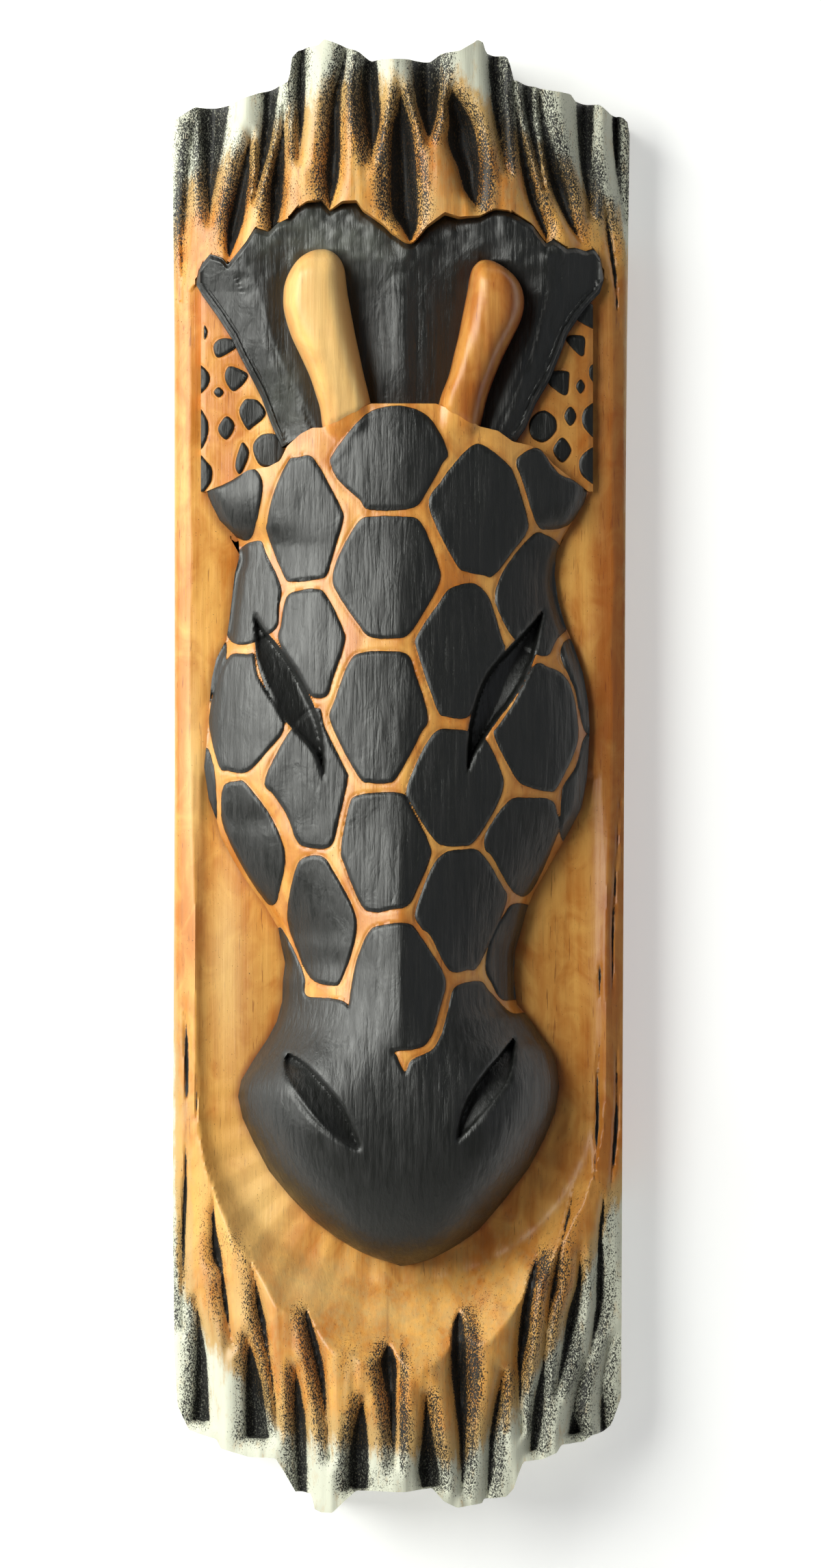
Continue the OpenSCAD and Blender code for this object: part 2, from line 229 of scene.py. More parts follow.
def slots(x: np.ndarray, z: np.ndarray, cuts: list[Stations],
          deepest: float) -> tuple[np.ndarray, np.ndarray]:
    """V cuts that run down the wood, each drawn as stations [z, left x, right x].

    A cut is as deep as it is wide, up to the deepest, and its section is a rounded V.

    Args:
        x: places across.
        z: places up.
        cuts: the cuts.
        deepest: depth of the widest cut.

    Returns:
        Signed distance to the nearest cut's edge, and the depth cut away.
    """
    edge, cut = np.full(x.shape, 1.5 * FAR), np.zeros(x.shape)
    for stations in cuts:
        line = flowing(sorted(stations), closed=False, per=5)
        line[:, 0] = np.maximum.accumulate(line[:, 0])
        level = np.clip(z, line[0, 0], line[-1, 0])
        left, right = sides(line, level)
        half = np.maximum((right - left) / 2, 0.05)
        off = np.abs(x - (left + right) / 2) - half
        beyond = np.abs(z - level)
        edge = np.minimum(edge, np.where(beyond > 0, np.hypot(np.maximum(off, 0), beyond), off))
        share = np.clip(-off / half, 0, 1) * (beyond == 0)
        cut = np.maximum(cut, np.minimum(deepest, 1.5 * half) * (1 - (1 - share) ** 1.7))
    return edge, cut


# ---------------------------------------------------------------- solids from grids


@dataclass
class Carving:
    """A closed solid: a carved front on a grid of places, walls round it and a flat back.

    step is how many edge faces meet one face of the coarse back, rings the number of wall
    rings, push an outward bulge of the walls, back_x, back_z and back_cut the back's own
    lines and pocket, fading the fields that fade out down the walls, core the share of the
    outline that the back's inner grid takes, and sharp the angle past which edges stay sharp.
    """

    name: str
    x: np.ndarray
    z: np.ndarray
    depth: np.ndarray
    back: float
    fields: dict[str, np.ndarray] = field(default_factory=dict)
    step: int = 8
    rings: int = 2
    push: np.ndarray | None = None
    back_x: np.ndarray | None = None
    back_z: np.ndarray | None = None
    back_cut: np.ndarray | None = None
    fading: tuple[str, ...] = ()
    core: float = 0.03
    sharp: float = 50.0

    def build(self) -> bpy.types.Object:
        """Makes the mesh: front grid, wall rings set back evenly, then a coarse back grid.

        Returns:
            The new object, smooth apart from its sharp edges.
        """
        rows, cols = self.x.shape
        front = np.stack([self.x, -self.depth, self.z], -1).reshape(-1, 3)
        at = np.arange(rows * cols).reshape(rows, cols)
        loop = border(at)
        count = len(loop)
        rim = front[loop]
        share = (np.arange(1, self.rings + 1) / self.rings)[:, None]
        walls = np.repeat(rim[None], self.rings, 0)
        walls[:, :, 1] = rim[:, 1] * (1 - share) - self.back * share
        if self.push is not None:
            walls[:, :, 0] -= self.push
        across, up = self._back_lines(rows, cols, walls[-1])
        bx, bz = np.meshgrid(across, up)
        cut = np.zeros(bx.shape) if self.back_cut is None else self.back_cut
        back = np.stack([bx, -self.back - cut, bz], -1).reshape(-1, 3)
        verts = np.vstack([front, walls.reshape(-1, 3), back])
        ring = np.vstack([loop, rows * cols + np.arange(self.rings * count).reshape(-1, count)])
        base = rows * cols + self.rings * count
        bat = base + np.arange(len(back)).reshape(bx.shape)
        inner = border(bat)
        quads = np.stack([at[:-1, :-1], at[:-1, 1:], at[1:, 1:], at[1:, :-1]], -1).reshape(-1, 4)
        nxt = np.roll(ring, -1, 1)
        side = np.stack([ring[:-1], ring[1:], nxt[1:], nxt[:-1]], -1).reshape(-1, 4)
        rear = np.stack([bat[:-1, :-1], bat[1:, :-1], bat[1:, 1:], bat[:-1, 1:]], -1)
        starts = np.arange(0, count, self.step)
        reach = (starts[:, None] + np.arange(self.step, -1, -1)) % count
        margin = np.hstack([inner[:, None], np.roll(inner, -1)[:, None], ring[-1][reach]])
        groups = [quads, side, margin, rear.reshape(-1, 4)]
        faces = [face for group in groups for face in group.tolist()]
        mesh = bpy.data.meshes.new(self.name)
        mesh.from_pydata((verts * MM).tolist(), [], faces)
        kinds = np.repeat([0, 0, 1, 1], [len(group) for group in groups])
        mesh.polygons.foreach_set("material_index", kinds.astype(np.int32))
        for name, values in self.fields.items():
            flat = values.ravel()
            fade = np.clip(1 - share * 2.2, 0, 1) if name in self.fading else np.ones_like(share)
            full = np.concatenate([flat, (flat[loop] * fade).ravel(), np.zeros(len(back))])
            mesh.attributes.new(name, "FLOAT", "POINT").data.foreach_set(
                "value", full.astype(np.float32))
        mesh.shade_smooth()
        mesh.set_sharp_from_angle(angle=math.radians(self.sharp))
        mesh.update()
        piece = bpy.data.objects.new(self.name, mesh)
        bpy.context.scene.collection.objects.link(piece)
        return piece

    def _back_lines(self, rows: int, cols: int,
                    rim: np.ndarray) -> tuple[np.ndarray, np.ndarray]:
        """Columns and rows of the back grid, a small core of the outline unless given.

        Args:
            rows: rows of the front grid.
            cols: columns of the front grid.
            rim: the last wall ring's points.

        Returns:
            The places across and the places up.
        """
        if self.back_x is not None and self.back_z is not None:
            return self.back_x, self.back_z
        centre = (rim.min(0) + rim.max(0)) / 2
        half = (rim.max(0) - rim.min(0)) * self.core
        return (centre[0] + np.linspace(-half[0], half[0], (cols - 1) // self.step + 1),
                centre[2] + np.linspace(-half[2], half[2], (rows - 1) // self.step + 1))


# ---------------------------------------------------------------- finishes


def paint(rgb: Rgb) -> tuple[float, float, float, float]:
    """A display colour as the linear colour that shaders take.

    Args:
        rgb: red, green and blue, 0 to 255.

    Returns:
        Linear red, green and blue, and 1 for opaque.
    """
    c = [v / 255 for v in rgb]
    linear = [v / 12.92 if v <= 0.04045 else ((v + 0.055) / 1.055) ** 2.4 for v in c]
    return linear[0], linear[1], linear[2], 1.0


class Recipe:
    """Lays out one finish as shader nodes."""

    def __init__(self, name: str) -> None:
        """Starts a new material with an empty surface shader.

        Args:
            name: the material's name.
        """
        self.material = bpy.data.materials.new(name)
        self.material.use_nodes = True
        self.nodes = self.material.node_tree.nodes
        self.links = self.material.node_tree.links
        self.nodes.clear()
        self.shader = self.nodes.new("ShaderNodeBsdfPrincipled")
        out = self.nodes.new("ShaderNodeOutputMaterial")
        self.links.new(self.shader.outputs[0], out.inputs["Surface"])
        self.place = self.nodes.new("ShaderNodeTexCoord").outputs["Object"]

    def _plug(self, value: object, socket: bpy.types.NodeSocket) -> None:
        """Links an output to a socket, or sets the socket to a plain value.

        Args:
            value: the output or the value.
            socket: the socket that takes it.
        """
        if isinstance(value, bpy.types.NodeSocket):
            self.links.new(value, socket)
        else:
            socket.default_value = value

    def amount(self, name: str) -> bpy.types.NodeSocket:
        """Reads one of the piece's own fields.

        Args:
            name: the field's name.

        Returns:
            The field, 0 where the piece doesn't have it.
        """
        node = self.nodes.new("ShaderNodeAttribute")
        node.attribute_name = name
        return node.outputs["Fac"]

    def noise(self, per_m: tuple[float, float, float], detail: float = 3.0,
              rough: float = 0.55, twist: float = 0.0) -> bpy.types.NodeSocket:
        """Random pattern with its own fineness along X, Y and Z.

        Args:
            per_m: features for each metre along X, Y and Z.
            detail: octaves.
            rough: strength of the finer octaves.
            twist: how far the pattern warps itself.

        Returns:
            The pattern, about 0 to 1.
        """
        spread = self.nodes.new("ShaderNodeMapping")
        spread.inputs["Scale"].default_value = per_m
        self.links.new(self.place, spread.inputs["Vector"])
        node = self.nodes.new("ShaderNodeTexNoise")
        self.links.new(spread.outputs[0], node.inputs["Vector"])
        node.inputs["Scale"].default_value = 1.0
        node.inputs["Detail"].default_value = detail
        node.inputs["Roughness"].default_value = rough
        node.inputs["Distortion"].default_value = twist
        return node.outputs["Fac"]

    def span(self, value: object, low: object, high: object, to_low: float = 0.0,
             to_high: float = 1.0) -> bpy.types.NodeSocket:
        """Maps a range onto another smoothly, and holds it at both ends.

        Args:
            value: what is mapped.
            low: value that becomes to_low.
            high: value that becomes to_high.
            to_low: result up to low.
            to_high: result from high on.

        Returns:
            The mapped value.
        """
        node = self.nodes.new("ShaderNodeMapRange")
        node.interpolation_type = "SMOOTHSTEP"
        for socket, v in zip(node.inputs, (value, low, high, to_low, to_high)):
            self._plug(v, socket)
        return node.outputs[0]

    def _step(self, kind: str, a: object, b: object) -> bpy.types.NodeSocket:
        """One arithmetic step.

        Args:
            kind: the operation's name.
            a: first value or output.
            b: second value or output.

        Returns:
            The result's output.
        """
        node = self.nodes.new("ShaderNodeMath")
        node.operation = kind
        self._plug(a, node.inputs[0])
        self._plug(b, node.inputs[1])
        return node.outputs[0]

    def plus(self, a: object, b: object) -> bpy.types.NodeSocket:
        """a + b."""
        return self._step("ADD", a, b)

    def minus(self, a: object, b: object) -> bpy.types.NodeSocket:
        """a - b."""
        return self._step("SUBTRACT", a, b)

    def times(self, a: object, b: object) -> bpy.types.NodeSocket:
        """a times b."""
        return self._step("MULTIPLY", a, b)

    def most(self, a: object, b: object) -> bpy.types.NodeSocket:
        """The larger of a and b."""
        return self._step("MAXIMUM", a, b)

    def mix(self, share: object, a: object, b: object) -> bpy.types.NodeSocket:
        """Blends colour a to colour b.

        Args:
            share: 0 for a, 1 for b.
            a: first colour.
            b: second colour.

        Returns:
            The blended colour.
        """
        node = self.nodes.new("ShaderNodeMix")
        node.data_type = "RGBA"
        colour_in = [s for s in node.inputs if s.type == "RGBA"]
        self._plug(share, node.inputs[0])
        self._plug(a, colour_in[0])
        self._plug(b, colour_in[1])
        return [s for s in node.outputs if s.type == "RGBA"][0]

    def relief(self, height: bpy.types.NodeSocket, mm: float) -> None:
        """Raises the surface by a pattern.

        Args:
            height: the pattern.
            mm: rise where the pattern is 1.
        """
        node = self.nodes.new("ShaderNodeBump")
        node.inputs["Strength"].default_value = 1.0
        node.inputs["Distance"].default_value = mm * MM
        self.links.new(height, node.inputs["Height"])
        self.links.new(node.outputs[0], self.shader.inputs["Normal"])


class Cover(Enum):
    """How much of a piece the black paint covers."""

    NONE = "bare stained wood"
    PATTERN = "where the piece's ink field says"
    ALL = "all of it"


@dataclass(frozen=True)
class PaintedWood:
    """Stained, varnished wood with hand-brushed black paint and dry-brushed pale tips."""

    name: str
    cover: Cover = Cover.PATTERN
    light: Rgb = (240, 178, 90)
    deep: Rgb = (201, 121, 40)
    # brown darkens the grain and is also the colour of the painted shade
    brown: Rgb = (126, 58, 20)
    # the gold of the painted highlight on lit wood
    highlight_gold: Rgb = (255, 218, 146)
    tan: Rgb = (198, 168, 112)
    cream: Rgb = (216, 217, 198)
    black: Rgb = (15, 17, 14)
    thin_black: Rgb = (27, 27, 26)
    # the grey of the painted highlight on lit black paint
    highlight_grey: Rgb = (112, 116, 107)
    gloss_ior: float = 1.5
    wood_shine: float = 0.36
    tip_shine: float = 0.62
    black_shine: float = 0.4
    wobble: float = 0.07
    brush_mm: float = 0.35

    def _stain(self, r: Recipe, fibre: bpy.types.NodeSocket) -> bpy.types.NodeSocket:
        """Stain over the grain, with painted shade in brown and a painted highlight in gold.

        The tone is 0.36 long streaks, 0.30 blotches and 0.34 dapples; fibres and short
        pores darken it.

        Args:
            r: the recipe that the nodes join.
            fibre: fine fibre pattern.

        Returns:
            The wood's colour.
        """
        streak = r.noise((130, 130, 8), 3, 0.5, 0.4)
        blotch = r.noise((26, 26, 17), 4, 0.55, 0.6)
        dapple = r.noise((92, 92, 64), 3, 0.55, 1.3)
        tone = r.plus(r.times(streak, 0.36), r.times(blotch, 0.3))
        tone = r.plus(tone, r.times(dapple, 0.34))
        wood = r.mix(r.span(tone, 0.38, 0.62), paint(self.light), paint(self.deep))
        wood = r.mix(r.times(r.span(fibre, 0.5, 0.78), 0.26), wood, paint(self.brown))
        pores = r.span(r.noise((1500, 900, 110), 2, 0.5), 0.665, 0.72, 0.0, 0.55)
        wood = r.mix(pores, wood, paint(self.brown))
        # painted shade: the wood turns brown in corners, creases and on sides turned from the
        # light; a few marks in the same field are a real crack and grain streaks
        wood = r.mix(r.amount("corner"), wood, paint(self.brown))
        # painted highlight: the wood turns gold where the light falls on it
        return r.mix(r.amount("sun"), wood, paint(self.highlight_gold))

    def _ink(self, r: Recipe, dust: bpy.types.NodeSocket) -> bpy.types.NodeSocket:
        """Where black covers: a wobbly edge, broken into specks where the brush was dry.

        Args:
            r: the recipe that the nodes join.
            dust: how dry the brush was.

        Returns:
            Share of black, 0 or 1 but for thin edges.
        """
        fine = r.noise((2500, 2500, 1500), 2, 0.7)
        dry = r.span(r.plus(fine, r.times(dust, 0.24)), 0.70, 0.76)
        edge = r.noise((330, 330, 210), 3, 0.6)
        ragged = r.times(r.minus(edge, 0.5), self.wobble * 2)
        broken = r.times(r.minus(fine, 0.5), dust)
        ink = r.plus(r.amount("ink"), r.plus(ragged, broken))
        ink = r.most(r.span(ink, 0.47, 0.53), dry)
        chalk = r.span(r.noise((2100, 2100, 1300), 2, 0.7), 0.56, 0.62, 0.0, 0.4)
        chalk = r.times(chalk, r.times(r.amount("pale"), dust))
        return r.times(ink, r.minus(1.0, chalk))

    def make(self) -> bpy.types.Material:
        """Builds the finish: stained grain, then pale tips, then black.

        Returns:
            The material.
        """
        r = Recipe(self.name)
        stroke = r.noise((620, 400, 46), 5, 0.6, 0.3)
        dab = r.noise((150, 150, 95), 3, 0.5, 0.8)
        colour = r.mix(r.span(stroke, 0.3, 0.8), paint(self.black), paint(self.thin_black))
        rough = r.span(stroke, 0.25, 0.75, self.black_shine - 0.07, self.black_shine + 0.12)
        if self.cover is Cover.ALL:
            # painted highlight: the black turns grey where the light catches it
            colour = r.mix(r.amount("sun"), colour, paint(self.highlight_grey))
            height = r.plus(stroke, r.times(dab, 1.3))
        else:
            fibre = r.noise((850, 500, 34), 5, 0.62)
            wood = self._stain(r, fibre)
            uneven = r.times(r.minus(r.noise((420, 420, 150), 4, 0.65), 0.5), 0.8)
            pale = r.plus(r.amount("pale"), uneven)
            wood = r.mix(r.span(pale, 0.1, 0.62, 0.0, 0.8), wood, paint(self.tan))
            pale = r.span(pale, 0.66, 1.0)
            wood = r.mix(pale, wood, paint(self.cream))
            ink = 0.0 if self.cover is Cover.NONE else self._ink(r, r.amount("dry"))
            colour = r.mix(ink, wood, colour)
            bare = r.span(pale, 0.0, 1.0, self.wood_shine, self.tip_shine)
            rough = r.plus(bare, r.times(r.minus(rough, bare), ink))
            height = r.plus(r.times(fibre, 0.35), r.times(r.plus(stroke, dab), ink))
        r.links.new(colour, r.shader.inputs["Base Color"])
        r.links.new(rough, r.shader.inputs["Roughness"])
        r.shader.inputs["IOR"].default_value = self.gloss_ior
        r.relief(height, self.brush_mm)
        return r.material


@dataclass(frozen=True)
class SawnBack:
    """Pale sawn wood of the flat back, with saw marks across it."""

    name: str = "sawn_back"
    light: Rgb = (214, 184, 140)
    dark: Rgb = (168, 128, 82)
    burnt: Rgb = (120, 86, 52)
    shine: float = 0.72
    saw_mm: float = 0.3

    def make(self) -> bpy.types.Material:
        """Builds the finish: long grain under faint saw marks.

        Returns:
            The material.
        """
        r = Recipe(self.name)
        grain = r.noise((240, 240, 7), 5, 0.6, 0.5)
        marks = r.noise((14, 200, 620), 2, 0.5)
        wood = r.mix(r.span(grain, 0.35, 0.68), paint(self.light), paint(self.dark))
        wood = r.mix(r.span(marks, 0.5, 0.75, 0.0, 0.35), wood, paint(self.burnt))
        r.links.new(wood, r.shader.inputs["Base Color"])
        r.shader.inputs["Roughness"].default_value = self.shine
        r.relief(r.plus(grain, marks), self.saw_mm)
        return r.material


@dataclass(frozen=True)
class PlatedSteel:
    """Yellow zinc plate on steel wire and strip, with handling marks."""

    name: str
    bright: Rgb = (222, 208, 170)
    dull: Rgb = (160, 144, 112)
    shine: float = 0.28
    scratch_mm: float = 0.02

    def make(self) -> bpy.types.Material:
        """Builds the finish: bright plate with dull clouds and fine scratches.

        Returns:
            The material.
        """
        r = Recipe(self.name)
        cloud = r.noise((240, 240, 240), 4, 0.6)
        scratch = r.noise((2600, 900, 300), 3, 0.7)
        colour = r.mix(r.span(cloud, 0.4, 0.68), paint(self.bright), paint(self.dull))
        r.links.new(colour, r.shader.inputs["Base Color"])
        r.shader.inputs["Metallic"].default_value = 1.0
        rough = r.span(scratch, 0.3, 0.7, self.shine, self.shine + 0.2)
        r.links.new(rough, r.shader.inputs["Roughness"])
        r.relief(scratch, self.scratch_mm)
        return r.material


def dress(piece: bpy.types.Object, front: PaintedWood, back: SawnBack) -> None:
    """Gives a carving its front and wall finish, then the finish of its back."""
    for finish in (front, back):
        piece.data.materials.append(finish.make())


# ---------------------------------------------------------------- shared outlines


class Shape:
    """Front-view lines that neighbouring pieces share, at the nominal 157 x 500 size."""

    lip: Line = [
        (-72, 166), (-70, 168), (-69.5, 171), (-68, 174.5), (-65, 178), (-61, 176.5), (-59, 174),
        (-53, 181), (-49.5, 186.5), (-45, 185), (-42, 188), (-38, 189.5), (-35, 193), (-32, 195),
        (-27, 195.5), (-24, 192), (-20, 194.8), (-15, 195), (-13, 192), (-6, 187), (-3, 184),
        (1.5, 181), (3.5, 180.5), (5, 181.5), (9, 186.5), (15, 191), (20, 189.5), (27, 190),
        (32, 192.5), (37, 192), (45, 187), (49.5, 181), (52, 182.5), (56.5, 179.5), (60, 180),
        (63.5, 179), (66, 180), (68, 177), (69.5, 170), (72, 168),
    ]
    shoulder_left: Line = [
        (-70, 168), (-68, 164.5), (-63, 157.5), (-57.5, 149), (-55, 143.5), (-50, 134),
        (-47.5, 129), (-44, 119.5), (-40.5, 112),
    ]
    shoulder_right: Line = [
        (38.5, 113), (42.5, 118.5), (46, 127), (50.5, 134.5), (54, 143), (57, 151), (61, 157),
        (65, 162), (68, 165), (69.5, 170),
    ]
    brow: Line = [
        (-66.5, 97), (-62, 98.8), (-58, 100.5), (-52, 104), (-45, 105), (-41, 107), (-38.5, 112),
        (-34, 116), (-30, 118), (-26.5, 118), (-18, 122.5), (-10, 126), (12, 126), (20, 122.5),
        (26.5, 118.5), (33, 117), (38, 113.5), (43, 112.5), (48, 111), (52, 106), (58, 101.5),
        (64, 97),
    ]
    head_left: Line = [
        (-167.5, 1), (-166, -4.9), (-163, -13.3), (-158, -21.8), (-151.6, -30.2), (-144, -37.6),
        (-135, -45), (-125, -50.3), (-117, -54), (-109.5, -55.6), (-104, -54.5), (-97, -50.3),
        (-90, -45.6), (-84, -42.4), (-77, -40.5), (-70, -40.3), (-64, -39.5), (-58, -40.8),
        (-52, -41.9), (-45, -46), (-35, -53.5), (-28, -57.7), (-21, -61.4), (-15, -63),
        (-8, -65.6), (3, -67.2), (11, -66.4), (22, -65.6), (33, -64.6), (40, -63),
        (46.6, -59.6), (53, -58.6), (60, -57.7), (68, -56.7), (73, -55.1), (78, -55.4),
        (81, -57.7), (86, -61.9), (92, -64.6), (97, -66.5),
    ]
    head_right: Line = [
        (-167.5, 1.5), (-165.4, 9.9), (-161, 18.4), (-155, 26.8), (-145, 35.3), (-134, 43.7),
        (-124, 49), (-115, 52.7), (-106, 54.1), (-99, 53.2), (-93, 51.1), (-89, 47.9),
        (-82.6, 43.7), (-78, 39.5), (-69, 38.7), (-60, 39), (-51, 41.6), (-45.7, 43),
        (-40, 45.3), (-32, 50), (-24.5, 54.3), (-18, 58), (-11, 61.7), (-1, 63.6), (7.5, 64.1),
        (16, 64.5), (25, 64), (35, 62.2), (44.5, 59), (52, 55.9), (59, 53.7), (66.6, 52.5),
        (73, 53.2), (78, 55.3), (86, 59.6), (92, 62.5), (97, 64.2),
    ]
    horn_left: Stations = [
        (107, -22, -13), (112, -24.5, -11), (118, -26.5, -9.5), (125, -27.5, -10), (130, -29, -11),
        (136, -31, -12.5), (143, -34.2, -14), (150, -37.4, -15.5), (158, -39.7, -17),
        (164, -39.9, -18.1), (168, -39.2, -18.6), (172, -37.4, -19.1), (175.5, -34.8, -20.5),
        (177.8, -31.5, -22.8), (178.8, -28.5, -25),
    ]
    horn_right: Stations = [
        (107, 12, 23), (112, 11.5, 25), (118, 11.5, 26.8), (123, 12.2, 28), (129, 13.6, 29.5),
        (136, 16.3, 32), (143, 18, 35), (149, 19.5, 38), (155, 20.7, 40.8), (160, 21.7, 41.9),
        (165, 22.7, 41.4), (169, 23.3, 39.3), (172.3, 24.3, 35.8), (174.6, 26.3, 32),
        (175.2, 28, 30.2),
    ]


@dataclass(frozen=True)
class Sizes:
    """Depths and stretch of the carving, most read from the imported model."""

    stretch_x: float
    stretch_z: float
    crest_d: float
    seat_d: float
    mask_d: float
    edge_d: float = 20.0
    crown_t: float = 13.0

    @classmethod
    def from_frame(cls) -> "Sizes":
        """Reads the half log's and the head's boxes.

        Returns:
            The sizes in millimetres.
        """
        (sx0, sy0, sz0), (sx1, _, sz1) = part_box("log_slab")
        (_, hy0, _), (_, hy1, _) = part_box("giraffe_head")
        return cls((sx1 - sx0) / MM / NOMINAL_W, (sz1 - sz0) / MM / NOMINAL_H,
                   -sy0 / MM, -hy1 / MM, -hy0 / MM)

    def places(self, x: np.ndarray, z: np.ndarray) -> tuple[np.ndarray, np.ndarray]:
        """Places on the nominal front view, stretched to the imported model's size."""
        return x * self.stretch_x, z * self.stretch_z

    def log_depth(self, x: np.ndarray) -> np.ndarray:
        """Depth of the half log, an arc through its crest and its two edges.

        Args:
            x: places across.

        Returns:
            One depth for each place.
        """
        rise = self.crest_d - self.edge_d
        radius = (rise**2 + HALF_W**2) / (2 * rise)
        x = np.clip(x, -HALF_W - 0.5, HALF_W + 0.5)
        return np.sqrt(radius**2 - x**2) - (radius - self.crest_d)

    @property
    def crown_d(self) -> float:
        """Depth of the flat of the crown."""
        return self.seat_d + self.crown_t


def horn_field(x: np.ndarray, z: np.ndarray, stations: Stations, base: float,
               rise: float) -> np.ndarray:
    """Depth of a horn over the crown: a rounded section that lowers towards its foot.

    Across the horn the depth follows (1 - |s|^3.6)^0.5, s being -1 and 1 at its edges. Its
    end is a dome that follows (1 - c^2.4)^0.5, c going from 0 to 1 over the last 11 mm.

    Args:
        x: places across.
        z: places up.
        stations: the horn's edges, [z, left x, right x], from the foot up.
        base: depth the horn stands on.
        rise: height of its bulb over the base.

    Returns:
        One depth for each place, the base where the horn isn't.
    """
    line = flowing(stations, closed=False, per=6)
    left, right = sides(line, z)
    top = line[-1, 0]
    s = (x - (left + right) / 2) / np.maximum((right - left) / 2, 0.1)
    dome = np.sqrt(np.clip(1 - np.clip((z - top + 11) / 11.2, 0, 1) ** 2.4, 0, 1))
    height = rise * (0.5 + 0.5 * ease(z, 100, 152)) * dome
    return base + height * np.sqrt(np.clip(1 - np.abs(s) ** 3.6, 0, 1)) * (z <= top)


# ---------------------------------------------------------------- the half log


